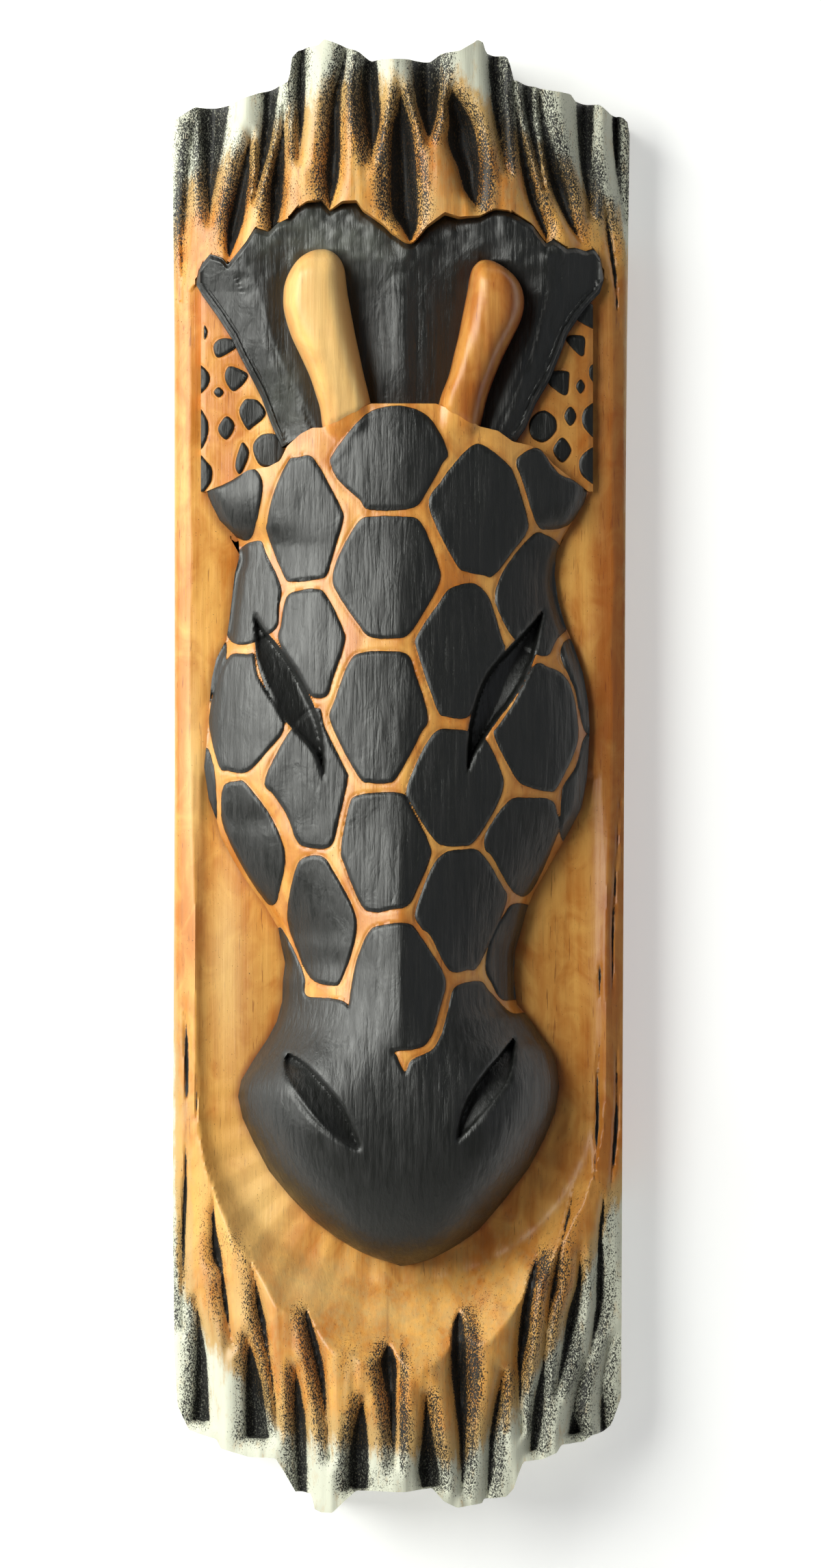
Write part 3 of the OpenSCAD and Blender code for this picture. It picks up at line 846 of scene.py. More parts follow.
@dataclass
class LogSlab:
    """The half log: fringe at both ends, dish round the muzzle, band beside the head.

    The cuts are the fringe's grooves. pale_below and pale_above are the lines [x, z] past
    which the tips are cream, and bend_low and bend_high the levels past which rows bend.
    """

    sizes: Sizes
    cols: int = 209
    low_rows: int = 126
    mid_rows: int = 177
    top_rows: int = 105
    dish_r: float = 66.0
    dish_z: float = -106.0
    dish_flare: float = 1.4
    facets: float = 6.0  # knife facets of the dish to each radian
    groove_d: float = 6.0
    pocket_d: float = 9.0
    pocket_x: float = 13.76
    pocket_z: tuple[float, float] = (167.49, 218.76)
    bend_low: float = -130.0
    bend_high: float = 150.0
    rings: int = 6

    left_side: Line = field(default_factory=lambda: [
        (-224, -76), (-200, -77.6), (-150, -78.3), (0, -77.5), (150, -77.6), (219, -78.5)])
    right_side: Line = field(default_factory=lambda: [
        (-224, 75.4), (-110, 75.9), (-50, 76.2), (90, 77), (150, 77.5), (219, 78.5)])
    pale_below: Line = field(default_factory=lambda: [
        (-78, -184), (-70, -192), (-60, -203), (-50, -212), (-40, -228), (0, -232), (20, -236),
        (38, -221), (46, -206), (56, -192), (66, -166), (71, -148), (78, -140)])
    pale_above: Line = field(default_factory=lambda: [
        (-78, 201), (-60, 212), (-40, 224), (-20, 238), (0, 236), (20, 238), (40, 220),
        (60, 206), (78, 190)])
    dry_patches: Patches = field(default_factory=lambda: [
        (-63, 212, 6, 22, 0.45), (-75, 195, 3, 30, 0.5), (-17, 225, 5, 22, 0.5),
        (-8, 205, 4, 18, 0.35), (36, 225, 4, 20, 0.6), (-36, 198, 8, 8, 0.45),
        (30, 200, 5, 12, 0.4), (56, 214, 4, 20, 0.4), (68, 200, 4, 20, 0.4), (-32, 243, 3, 8, 0.5),
        (6, 238, 7, 6, 0.5), (-57, -213, 7, 10, -0.4), (-60, -190, 4, 13, -0.5),
        (-50, 225, 6, 12, -0.6), (68, 222, 5, 12, -0.6), (64, -185, 3, 8, -0.4),
        (10, -200, 4, 10, 0.4), (50, -166, 6, 8, 0.5), (-18, -198, 6, 9, 0.5),
        (30, -179, 5, 6, 0.45), (-59, -158, 4, 6, 0.4), (72, -150, 3, 8, 0.35),
        (62, -208, 6, 14, 0.4), (-8, -240, 9, 4, 0.5), (26, -200, 4, 14, 0.4),
        (2, -222, 4, 12, 0.3),
    ])
    # painted shade beside the muzzle and along the dish's bottom rim; the thin last patch is a
    # real hairline crack
    shade_and_crack_patches: Patches = field(default_factory=lambda: [
        (-52, -92, 12, 40, 0.34), (52, -100, 10, 36, 0.22), (0, -176, 40, 5, 0.1),
        (-4.4, -185, 0.4, 8, 0.7)])
    # painted highlights where the light falls: the dish's lower left, the lit left edge and a few
    # spots on the fringe
    painted_light_patches: Patches = field(default_factory=lambda: [
        (-50, -148, 14, 22, 0.55), (-30, -174, 12, 8, 0.5), (-60, -62, 6, 30, 0.5),
        (-5, -183, 10, 5, 0.25), (-54, -181, 6, 9, 0.5), (10, 192, 5, 9, 0.5),
        (-71, 0, 3, 34, 0.5), (-45, 200, 3, 14, 0.4)])

    top_edge: Line = field(default_factory=lambda: [
        (-78.5, 221), (-77.5, 225), (-70.5, 229), (-58, 229), (-53, 231), (-47, 233), (-41, 235),
        (-38.2, 236), (-37.4, 240), (-37, 244), (-35, 246.5), (-32.5, 247.5), (-28, 248),
        (-26, 250), (-19, 247.5), (-14, 245.5), (-10, 243), (10, 243), (13.5, 245), (20, 246),
        (25, 249), (26, 250), (28, 249), (29, 245.5), (36, 244.5), (37.5, 241), (38.3, 236.8),
        (45, 235), (50, 233.5), (58, 232.5), (59.5, 230.5), (68, 229.5), (72, 226.5), (76, 226),
        (78, 224), (78.5, 220),
    ])
    bottom_edge: Line = field(default_factory=lambda: [
        (-78.5, -216), (-75, -224), (-65, -226.5), (-63.5, -229.5), (-53.5, -232), (-44, -232),
        (-41, -236.5), (-37, -243.5), (-31.3, -244), (-30.2, -249), (-28, -250), (-24, -250),
        (-18.6, -245), (-15.5, -242.6), (1.5, -242.8), (11, -241.7), (15.2, -246), (19.9, -248.3),
        (28.9, -247), (29.4, -245.7), (37.4, -245), (40, -242.2), (41.6, -237.5), (43.4, -233.3),
        (50, -232.7), (55.3, -230.6), (56.9, -228), (64.8, -227.5), (68, -225.3), (72.2, -224.8),
        (75, -222.2), (78.5, -213),
    ])
    top_cuts: list[Stations] = field(default_factory=lambda: [
        [(224, -71.8, -70.4), (205, -73.4, -72.2), (185, -75.2, -74), (162, -75.8, -75)],
        [(231, -69.7, -58), (220, -69, -59.5), (212, -68.2, -61), (203, -67.3, -63),
         (195, -66.2, -64.5), (190, -65.6, -65.4)],
        [(219, -51.2, -50.9), (212, -53.5, -51), (204, -55.7, -51.2), (195, -58, -52.3),
         (188, -59.6, -53.8), (182, -59.8, -56), (175, -59.2, -58.9)],
        [(236, -47, -41), (225, -47.3, -42.3), (215, -48.3, -44), (206, -49, -46.5),
         (196, -50.2, -49.9)],
        [(228, -40.2, -39.9), (219, -41, -39.2), (210, -43.2, -39), (200, -45.2, -39.5),
         (192, -45.2, -40.6), (185, -44.5, -42.5)],
        [(249, -34.5, -31.8), (235, -36, -32), (222, -35.4, -32.7), (210, -34.6, -34.4)],
        [(248, -19, -17.6), (240, -21, -18.6), (230, -24, -20), (215, -25.2, -20),
         (203, -26, -20.6), (192.5, -24.2, -23.9)],
        [(246, -13, -8), (234, -14, -7), (222, -12.6, -6.6), (209, -10.2, -9.9)],
        [(233, -0.2, 0.1), (226, -1.7, 2.4), (219, -3.6, 4.5), (205, -4.1, 6), (192, -3.6, 6.5),
         (186, 0, 5.8), (180.5, 3.2, 3.6)],
        [(246, 3, 13.8), (235, 4, 13.9), (228, 5, 13.2), (222, 7, 12.2), (215.5, 9.3, 9.6)],
        [(233, 17.3, 17.8), (229, 15.6, 21), (222, 15.9, 25), (215, 15.6, 26.6), (207, 18.8, 27.6),
         (199, 21.3, 27.2), (192.5, 25.9, 26.2)],
        [(248, 29, 34), (235, 30, 34.5), (225, 31.2, 35), (215, 33.4, 35.6), (206, 35.8, 36.1)],
        [(240, 37.9, 38.2), (225, 38.6, 40.6), (213, 39.7, 43.2), (203, 41.4, 45.4),
         (194, 44, 47.8), (186, 47.6, 50.2), (181, 49.8, 50)],
        [(237, 40, 45.4), (225, 42, 45.6), (214, 44.6, 47.4), (200, 48.8, 49.1)],
        [(236, 46.2, 47.6), (222, 47.1, 50.3), (210, 48.6, 54.2), (200, 51.2, 57.4),
         (190, 55.8, 59.2), (182, 61.6, 62)],
        [(232, 59.5, 66.6), (220, 60, 66.1), (208, 61.2, 65.9), (191, 64.8, 65.1)],
        [(229, 72, 75.6), (215, 72.5, 75.9), (200, 74.8, 76), (190, 76.8, 77)],
        [(197, 69.9, 70.1), (186, 70.1, 72), (173, 72, 74), (150, 74.8, 75)],
    ])
    low_cuts: list[Stations] = field(default_factory=lambda: [
        [(-75, -74.4, -74.2), (-90, -74.5, -72.5), (-103, -74.2, -72.3), (-120, -73.7, -72.9),
         (-140, -74.7, -72.8), (-163, -75.5, -73.7), (-189, -74.5, -74.2)],
        [(-97, -69.8, -69.6), (-112, -70.5, -69.3), (-127, -68.9, -68.6)],
        [(-128, -67.3, -66.9), (-140, -64.8, -64.2), (-154, -65.1, -62.9), (-165, -64.6, -60.8),
         (-170, -62, -60.2), (-180, -61.2, -58.8), (-194, -57.7, -57.4)],
        [(-158, -53.6, -53.3), (-170, -50.5, -49.7), (-180, -49.9, -47.2), (-187, -48.6, -45.6),
         (-200, -45.6, -44), (-210, -44, -42.6), (-223, -42.2, -41.9)],
        [(-179, -70.4, -70.1), (-190, -70.3, -67.7), (-200, -70.6, -66.1), (-210, -71, -65.5),
         (-221, -72, -65)],
        [(-191.5, -52.5, -52.1), (-200, -53, -49), (-210, -53.5, -46.5), (-226, -53.3, -44.4)],
        [(-201.5, -35.9, -35.6), (-210, -36.7, -33.5), (-222, -36.6, -31.8), (-244, -35.5, -31.4)],
        [(-181.5, -32.4, -32), (-185, -33.1, -30.3), (-200, -29.6, -26), (-215, -26.5, -24.8),
         (-232, -24.2, -23.9)],
        [(-211, -13, -12.6), (-218, -15.5, -11.5), (-230, -18, -10.6), (-242, -18.2, -10.6)],
        [(-193, -4.6, -3.8), (-196.5, -6.5, -1.8), (-201, -7.3, -1), (-212, -5, -1.2),
         (-224, -3.8, -1.2), (-234.5, -2.5, -2.2)],
        [(-210.5, 8.1, 8.9), (-217, 7.5, 10.2), (-225, 6.8, 11.5), (-235, 5.6, 13.4),
         (-241.5, 6.6, 14)],
        [(-182.5, 19.4, 20.6), (-188, 17.3, 22.3), (-200, 16.8, 23), (-212, 17.8, 23.3),
         (-224, 19.3, 22.7), (-235, 20, 22.3), (-243.5, 20.6, 20.9)],
        [(-203, 34.6, 35), (-212, 32, 34.3), (-225, 29.8, 32.6), (-238, 29.2, 31.7),
         (-245.5, 29.2, 29.6)],
        [(-163, 46.6, 47), (-171, 43.5, 46.8), (-181, 41, 45), (-191, 39.7, 44),
         (-203, 39.4, 41.7), (-223.5, 41.2, 41.5)],
        [(-136.5, 59.9, 60.2), (-150, 56.4, 58.1), (-160, 54.1, 55.3), (-168, 52.2, 54.3),
         (-175.5, 50.8, 53.6), (-181, 50.1, 51.6), (-192, 49, 49.7), (-202, 47.5, 49.5),
         (-212, 45.2, 49.5), (-221, 44.1, 48.7), (-230, 43.7, 46.6)],
        [(-162.5, 61.1, 61.5), (-174, 59.6, 62.2), (-184, 56.7, 61), (-193, 55.3, 58.9),
         (-202, 53.9, 56.4), (-210.5, 52.9, 53.2)],
        [(-142, 69.4, 69.6), (-151, 67.9, 69.9), (-157, 67.3, 69.2), (-168, 66.7, 70),
         (-180, 66.5, 69.7), (-188, 65.5, 68), (-197.5, 64.7, 65)],
        [(-199, 63.6, 64), (-210, 60, 61), (-218, 58.1, 60.1), (-225, 56.8, 62.6)],
        [(-194, 71.6, 71.9), (-206, 69, 69.5), (-214, 68.2, 70.1), (-225, 67.8, 70.8)],
        [(-63, 68.1, 68.5), (-69, 67.2, 68.8), (-78, 67.9, 68.1)],
        [(-88, 68.1, 68.3), (-102, 66.7, 68.2), (-121, 66.2, 68), (-143.5, 65.7, 66)],
        [(-80, 74.9, 75.1), (-95, 73.5, 74.4), (-110, 73.2, 74.8), (-124, 72.3, 74.5),
         (-143, 71.4, 71.7)],
        [(5, 75.9, 76.1), (-15, 74.1, 75), (-35, 72.8, 74), (-55, 71.7, 73.3), (-79, 72.4, 72.7)],
    ])

    def _places(self) -> tuple[np.ndarray, np.ndarray]:
        """Grid places: rows follow the fringe at both ends and the lip under the top fringe.

        Between the lower and the upper bend the rows are level. Outside them each row is
        moved by its share of the way to the outline, and the columns follow the two sides.

        Returns:
            The places across and the places up.
        """
        low_z, high_z = self.bend_low, self.bend_high
        level = np.concatenate([
            np.linspace(-HALF_H, low_z, self.low_rows + 1)[:-1],
            np.linspace(low_z, high_z, self.mid_rows + 1)[:-1],
            np.linspace(high_z, HALF_H, self.top_rows + 1)])
        x, z = np.meshgrid(np.linspace(-HALF_W, HALF_W, self.cols), level)
        top, low = along(self.top_edge, x), along(self.bottom_edge, x)
        lift = along(Shape.lip, x) - LIP_Z
        warp = np.clip(1 - np.abs(z - LIP_Z) / 33, 0, 1)
        high = high_z + (z - high_z) * (top - high_z) / (HALF_H - high_z)
        above_lip = LIP_Z + lift + (z - LIP_Z) * (top - LIP_Z - lift) / (HALF_H - LIP_Z)
        lip_level = np.where(z < LIP_Z, z + lift * warp, above_lip)
        high = np.where(z > high_z + 2, lip_level, high)
        deep = low_z + (z - low_z) * (low_z - low) / (HALF_H + low_z)
        z = np.where(z > high_z, high, np.where(z < low_z, deep, z))
        left, right = along(self.left_side, z), along(self.right_side, z)
        return np.where(x < 0, -x / HALF_W * left, x / HALF_W * right), z

    def _dish(self, x: np.ndarray, z: np.ndarray) -> np.ndarray:
        """Depth of the dish: a cone round its centre and a trough above it, cut in facets.

        Inside the rim the floor falls a little outwards, and it meets the cone in a curve.
        The facets are a zigzag of the angle round the centre.

        Args:
            x: places across.
            z: places up.

        Returns:
            One depth for each place.
        """
        down = np.minimum(z - self.dish_z, 0)
        r = np.hypot(x, down)
        turn = np.arctan2(x, -down + 1e-6) * self.facets
        facet = (np.abs(turn - np.round(turn)) * 2 - 0.5) * 0.5
        facet = facet * (down < 0) + lumps(x, z, 12, 22, 4) * 0.35
        slope = (r - self.dish_r - 1.5) / self.dish_flare
        bowl = np.sqrt(slope**2 + 2.2) / 2 + slope / 2
        sink = 1.3 * ease(r, 48, 66) * (1 - ease(r, 66, 76))
        return self.sizes.seat_d + bowl - sink + facet * ease(r, 46, 60) * (1 - ease(r, 78, 90))

    def _surface(self, x: np.ndarray, z: np.ndarray) -> tuple[np.ndarray, dict[str, np.ndarray]]:
        """Front depth and paint fields of the half log.

        Args:
            x: places across.
            z: places up.

        Returns:
            Depth at each place, and the ink, dry-brush and pale fields, a painted shade field that
            also holds a real crack, and a painted light field.
        """
        log_d = self.sizes.log_depth(x)
        edge_low, cut_low = slots(x, z, self.low_cuts, self.groove_d)
        edge_top, cut_top = slots(x, z, self.top_cuts, self.groove_d + 1)
        edge, cut = np.minimum(edge_low, edge_top), np.maximum(cut_low, cut_top)
        fringe = np.maximum(ease(z, 165, 195), ease(-z, 120, 190))
        strand = lumps(x, z, 5.2, 46, 11) * 0.9 + lumps(x, z, 1.9, 16, 12) * 0.3
        shoulder = 3.2 * np.exp(-np.maximum(edge, 0) / 2.2) * (edge < 8)
        outer = log_d + (strand - shoulder) * fringe - 0.4 * fringe
        lip_gap = z - along(Shape.lip, x)
        flat = self.sizes.seat_d + lumps(x, z, 12, 24, 5) * 0.4 + lumps(x, z, 3.4, 7, 6) * 0.1
        beside = np.where(lip_gap > 0.05, outer, np.minimum(outer, flat))
        share = ease(z, -62, -2)
        dish = self._dish(x, z)
        level = np.minimum(outer, dish * (1 - share) + np.minimum(dish, flat) * share)
        depth = np.where(z > 0, beside, level)
        depth = depth - cut * (depth > self.sizes.seat_d - 5)
        worn = np.minimum(79 - np.abs(x), 9)
        depth -= 1.6 * ease(-worn, -3.0, 0.5)
        side = np.where(x < 0, 1.0, -1.0)
        near = slots(x + side * 2.4, z, self.low_cuts + self.top_cuts, 1.0)[0]
        dry = np.clip(1 - np.maximum(near, 0) / 5, 0, 1) ** 1.3 * fringe
        dry += patches(x, z, self.dry_patches)
        start, crown = along(self.pale_below, x), along(self.pale_above, x)
        pale = ease(start - z, -20, 14) + ease(z - crown, -22, 20)
        pale += 0.5 * ease(-x, 75.5, 78) + 0.45 * ease(x, 75, 77.5)
        pale += 0.3 * fringe
        pale += 0.34 * ease(-x, 69, 73) * ease(-z, 50, 110)
        head = np.maximum(along(Shape.head_left, z) - x, x - along(Shape.head_right, z))
        head = np.where(z < -160, np.hypot(np.maximum(head, 0), z + 166), head)
        # painted shade: darker where the slab meets the head's sides, in the patches beside the
        # muzzle and over the right band in the head's shadow
        corner = np.clip(0.6 - head / 4.5, 0, 0.6) * (z < HEAD_TOP)
        corner += patches(x, z, self.shade_and_crack_patches)
        corner += 0.55 * ease(x, 60, 70) * ease(z, -150, -90) * ease(-z, -190, -150)
        # painted highlight: lighter gold patches where the light falls
        sun = np.clip(patches(x, z, self.painted_light_patches), 0, 1)
        fields = {"ink": ink_of(edge + 0.4), "dry": dry, "pale": np.clip(pale, 0, 1),
                  "corner": corner, "sun": sun}
        return depth, fields

    def build(self) -> list[bpy.types.Object]:
        """Makes the half log with its hanger pocket and dresses it.

        Returns:
            The one piece.
        """
        x, z = self._places()
        depth, fields = self._surface(x, z)
        loop_x, loop_z = border(x), border(z)
        share = (np.arange(1, self.rings + 1) / self.rings)[:, None]
        rough = 0.5 + 0.5 * lumps(share * 20 + 3, loop_z[None] + 0 * share, 5.5, 44, 21)
        push = rough * 1.5 * np.sin(np.pi * np.clip(share * 0.9, 0, 1)) * np.sign(loop_x)
        push = push * (np.abs(loop_x) > 74)
        side, (low, high), gap = self.pocket_x, self.pocket_z, 0.01
        across = np.concatenate([
            np.linspace(-68, -22, 7), [-side - gap, -side + gap], np.linspace(-9, 9, 9),
            [side - gap, side + gap], np.linspace(22, 68, 7)])
        up = np.concatenate([
            np.linspace(-215, 158, 40), [low - gap, low + gap], np.linspace(172, 214, 8),
            [high - gap, high + gap]])
        inside = (np.abs(across) < side)[None, :] & ((up > low) & (up < high))[:, None]
        piece = Carving("log_carving", *self.sizes.places(x, z), depth, 0.0, fields,
                        rings=self.rings, push=push, back_x=across, back_z=up,
                        back_cut=self.pocket_d * inside, fading=("ink", "dry")).build()
        front = PaintedWood("stained_log", black=(22, 22, 20), black_shine=0.5, wobble=0.12)
        dress(piece, front, SawnBack())
        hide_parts("log_slab")
        return [piece]


# ---------------------------------------------------------------- the head


@dataclass
class GiraffeHead:
    """The long face with its painted cells, and the black crown behind the horns."""

    sizes: Sizes
    face_cols: int = 193
    face_rows: int = 369
    crown_cols: int = 201
    crown_rows: int = 121
    slit_d: float = 7.0
    paint_d: float = 0.55
    lacquer_ior: float = 1.64

    swells: Patches = field(default_factory=lambda: [
        (-30, -122, 13, 14, 1.4), (30, -122, 13, 14, 1.4), (-50, 22, 9, 24, 1.3),
        (50, 20, 9, 24, 1.3), (-57, 93, 7, 8, 1.6), (56, 93, 7, 8, 1.6), (0, 108, 14, 12, 1.2),
        (-52, 81, 7, 3, -1.8), (51, 83, 7, 3, -1.8)])
    crease_left: Line = field(default_factory=lambda: [
        (112, -29), (120, -31), (128, -35), (138, -41), (148, -45), (158, -48), (165, -50),
        (180, -57)])
    crease_right: Line = field(default_factory=lambda: [
        (112, 32), (118, 34), (127, 38), (135, 41), (145, 45), (155, 47.5), (165, 50),
        (178, 52)])
    # painted highlights on the crown's lit left lobe, taken back a little just under the middle of
    # the lip
    crown_highlights: Patches = field(default_factory=lambda: [
        (-36, 183, 13, 9, 0.42), (-13, 181, 15, 10, 0.38), (-39, 129, 7, 14, 0.3),
        (0, 190, 12, 8, -0.3)])
    shares: Line = field(default_factory=lambda: [
        (-167.5, 0.12), (-163, 0.44), (-156, 0.67), (-144, 0.86), (-130, 0.96), (-117, 1.0),
        (-104, 1.0), (-90, 0.98), (-77, 0.96), (-50, 0.92), (-21, 0.86), (3, 0.82), (22, 0.79),
        (53, 0.73), (76, 0.67), (97, 0.63), (128, 0.58),
    ])
    cells: list[Line] = field(default_factory=lambda: [
        [(-10, 123.5), (0, 125.2), (8, 122.5), (13, 116.5), (16, 109), (14, 105.5), (9, 96.5),
         (4, 90.5), (-10.5, 90), (-14, 93.5), (-21, 100), (-23.8, 106), (-23, 109),
         (-17.5, 116.5)],
        [(-14.4, 86), (-9, 87.6), (0.4, 87.6), (6.7, 85.7), (12.5, 72), (13, 65), (6.7, 53.4),
         (2.5, 47.6), (-1.7, 46.3), (-10.2, 46.8), (-14.4, 51.3), (-21.8, 62.4), (-23, 67.7),
         (-20.7, 75)],
        [(-13.3, 41.5), (-2.8, 42), (2.5, 40.6), (5.1, 34), (9.2, 20), (6.7, 14), (-1.2, -0.4),
         (-4.9, -2.5), (-10.2, -2.3), (-14.4, 0), (-23.7, 18), (-22.3, 25.4), (-17.6, 38)],
        [(-15.5, -7), (-9, -5.7), (0.4, -6), (3.6, -10.8), (9.4, -22.4), (9.9, -27.7),
         (5.7, -38), (2.5, -43.6), (-2.8, -45), (-9, -46), (-13.3, -43.6), (-19, -30),
         (-20.2, -24.5), (-17.6, -10.8)],
        [(-10.2, -52), (-4.9, -50), (2.5, -49.7), (6.7, -54), (14, -65.7), (15.2, -71),
         (13.6, -77.4), (11.5, -84.8), (8.8, -90), (4.6, -92), (-1.7, -92.6), (-9, -94),
         (-18, -86), (-17.2, -75), (-15.5, -64.7), (-13.3, -58)],
        [(-38.5, 106.5), (-35, 108), (-30, 108), (-24.5, 99), (-20, 90), (-19.6, 86),
         (-23.4, 73), (-25, 68), (-28, 66.6), (-36.6, 65.8), (-39.7, 68), (-45.3, 82),
         (-45.5, 86), (-43.5, 95)],
        [(-38.7, 60.8), (-33.4, 63), (-29.2, 63.3), (-25.5, 61.4), (-19.7, 50), (-19, 44.5),
         (-22.8, 33), (-25, 27), (-30.2, 27), (-35, 35), (-41.3, 45.5), (-40.8, 51)],
        [(-36.6, 16.5), (-46, -1), (-42.9, -6.6), (-38.7, -13), (-35.5, -21.4), (-32.4, -24),
         (-23.9, -24), (-20.7, -14), (-17.9, -1.3), (-18.6, 2), (-25.5, 16), (-28, 23)],
        [(-35, -30), (-30.2, -27), (-26, -27.7), (-22.8, -32), (-16.5, -43.6), (-14.9, -49),
         (-15.5, -56), (-19.7, -68.4), (-22.8, -71), (-30.8, -68.4), (-36.6, -56), (-38.4, -50),
         (-38.2, -42.5)],
        [(-52, 105.3), (-48, 102.5), (-47, 97), (-49.5, 85), (-52, 80.5), (-57, 82),
         (-62.5, 86), (-66, 96), (-65.5, 98.2), (-62, 98.8), (-58, 100.5), (-55, 102.5)],
        [(-54.5, 78), (-48, 80), (-46, 76), (-40.8, 64.5), (-41.3, 57), (-42.4, 50),
         (-51.4, 45), (-58, 46), (-61, 54), (-59, 61), (-58, 70)],
        [(-58.2, 41), (-52.4, 41.3), (-49.8, 41), (-48.2, 33), (-39.2, 18), (-46, 7.5),
         (-52.4, 1.2), (-58.8, 1.7), (-61.9, 3.3), (-65.4, 16), (-65, 23), (-63, 32)],
        [(-60.3, -3.4), (-55.6, -1.8), (-52.4, -2.9), (-44, -14), (-39.2, -26.7), (-41.3, -39),
         (-42.9, -43.6), (-46, -43), (-53.5, -32), (-60.3, -18), (-61.2, -11)],
        [(-59.8, 45.5), (-63, 43), (-66.5, 33), (-66, 25), (-64.3, 28), (-61.9, 34),
         (-59.6, 40)],
        [(-66.2, 9.6), (-63.5, 1.2), (-62.8, -14), (-65, -13), (-68.5, -3), (-69, 5)],
        [(25, 112.3), (29, 111.5), (36, 106), (39, 101), (43.2, 87), (42.7, 82.5), (39.5, 78),
         (31.6, 68), (27.9, 68), (22.6, 69), (18.4, 72), (9.5, 91), (13.5, 99.5), (20, 108)],
        [(16.2, 63), (21.5, 65), (25.7, 64.7), (30, 60), (34.2, 46.6), (35, 42), (28, 30),
         (23, 20), (15.2, 20), (12, 23), (5.5, 42), (5.7, 47.6), (12.5, 58)],
        [(12.5, 15.4), (17.3, 15.7), (22.6, 15), (28.9, 12), (33.7, 2), (34.7, -4), (31, -13),
         (24.7, -22.4), (20.5, -23.7), (15.2, -23.7), (11, -21.4), (3.6, -9.7), (2, -4),
         (7.8, 9.6)],
        [(14.7, -26), (20.5, -25), (26.8, -25.8), (34.2, -37), (35.8, -43.6), (26.8, -63.6),
         (22.6, -65.7), (16.2, -65.5), (9.9, -54), (6.7, -51), (4.9, -45.7), (9.9, -32)],
        [(46.5, 111.5), (52, 105), (54.5, 102.5), (61, 100), (63.5, 97.5), (62.5, 92),
         (60, 88.5), (56, 85), (50, 84), (46, 86), (41, 101), (39.3, 105), (40, 108.5)],
        [(44.8, 82), (49, 82.3), (54, 79), (56, 72), (54.5, 66.6), (55.5, 59), (57, 51),
         (53.2, 46.6), (50, 41), (44, 42), (37.9, 47), (33, 56), (32, 62.4), (36.3, 72)],
        [(45.3, 37.6), (50, 37), (55.3, 34.4), (58.5, 28.6), (60.6, 16), (59, 7.5), (53.2, -4),
         (50, -5.4), (42.7, -3.6), (38.4, 0), (31.6, 13.3), (33, 17), (38.4, 25)],
        [(36.3, -8.7), (42.7, -7.4), (51, -8.2), (53.2, -13), (53.7, -19), (44.8, -39),
         (38.4, -39.5), (31, -27.7), (28.4, -24.5), (28.9, -19)],
        [(54.3, 41), (56.9, 46.6), (61, 44), (64.5, 33), (66, 22), (66, 14.5), (62.7, 15.4),
         (60.6, 23), (59, 30)],
        [(66, 13), (62.7, 13), (59.5, 3), (55.3, -3.6), (54.3, -12), (54.6, -21), (58, -22),
         (63, -13), (66, -3)],
        [(37.4, -44), (41.6, -43.6), (45, -46), (44, -55), (42, -62), (42, -70), (43, -76),
         (39.5, -76.5), (34.2, -76), (31, -71), (28.7, -65.7), (29.4, -59), (32, -52),
         (34.7, -47.8)],
        [(-42, -52), (-39.8, -53.5), (-37.6, -57), (-34.5, -63.6), (-32.6, -69), (-32, -74.6),
         (-24.4, -75.2), (-19.7, -76), (-16.9, -78.5), (-13, -85), (-8, -90), (-2.4, -93),
         (-0.6, -96), (1.5, -99.5), (3, -96.2), (5.5, -94.5), (10.5, -92), (13.6, -87),
         (15.6, -80), (16.9, -74), (18.5, -71.2), (22.6, -69.8), (27.3, -69.8), (30, -73),
         (33.5, -77), (36.5, -80), (39, -81), (46, -82), (60, -92), (72, -112), (50, -150),
         (0, -182), (-50, -150), (-72, -112), (-55, -84), (-48, -60)],
    ])
    slits: list[Line] = field(default_factory=lambda: [
        [(-50, 55), (-49.5, 46.5), (-48.2, 37), (-45, 28.5), (-40.8, 21), (-36.6, 16),
         (-31.3, 10.7), (-28, 5.4), (-26, -1), (-25.8, 7.5), (-27, 16), (-29.2, 23),
         (-32.4, 29.7), (-36.6, 37), (-41.9, 44.5), (-46.6, 50)],
        [(48.6, 56.5), (43.7, 51), (36.3, 43), (30, 36), (26.3, 28.6), (23.6, 19), (22.4, 9.6),
         (22.6, 1.5), (24.7, 6.4), (27.9, 11.7), (32, 18), (38.4, 26.5), (42.7, 34),
         (45.8, 42), (47.6, 50)],
        [(-38.9, -94), (-38.9, -101), (-36.6, -106), (-32.4, -112.6), (-27, -118),
         (-20.7, -122.6), (-13.6, -125.3), (-17, -115.7), (-20.7, -109.4), (-26, -103),
         (-32.4, -96.7)],
        [(38.7, -89), (32, -95.5), (27.9, -100), (23.6, -106), (20.5, -112.6), (18.9, -119),
         (19.3, -122.8), (23.6, -119), (28.9, -113.6), (34.2, -107), (37.4, -101)],
    ])

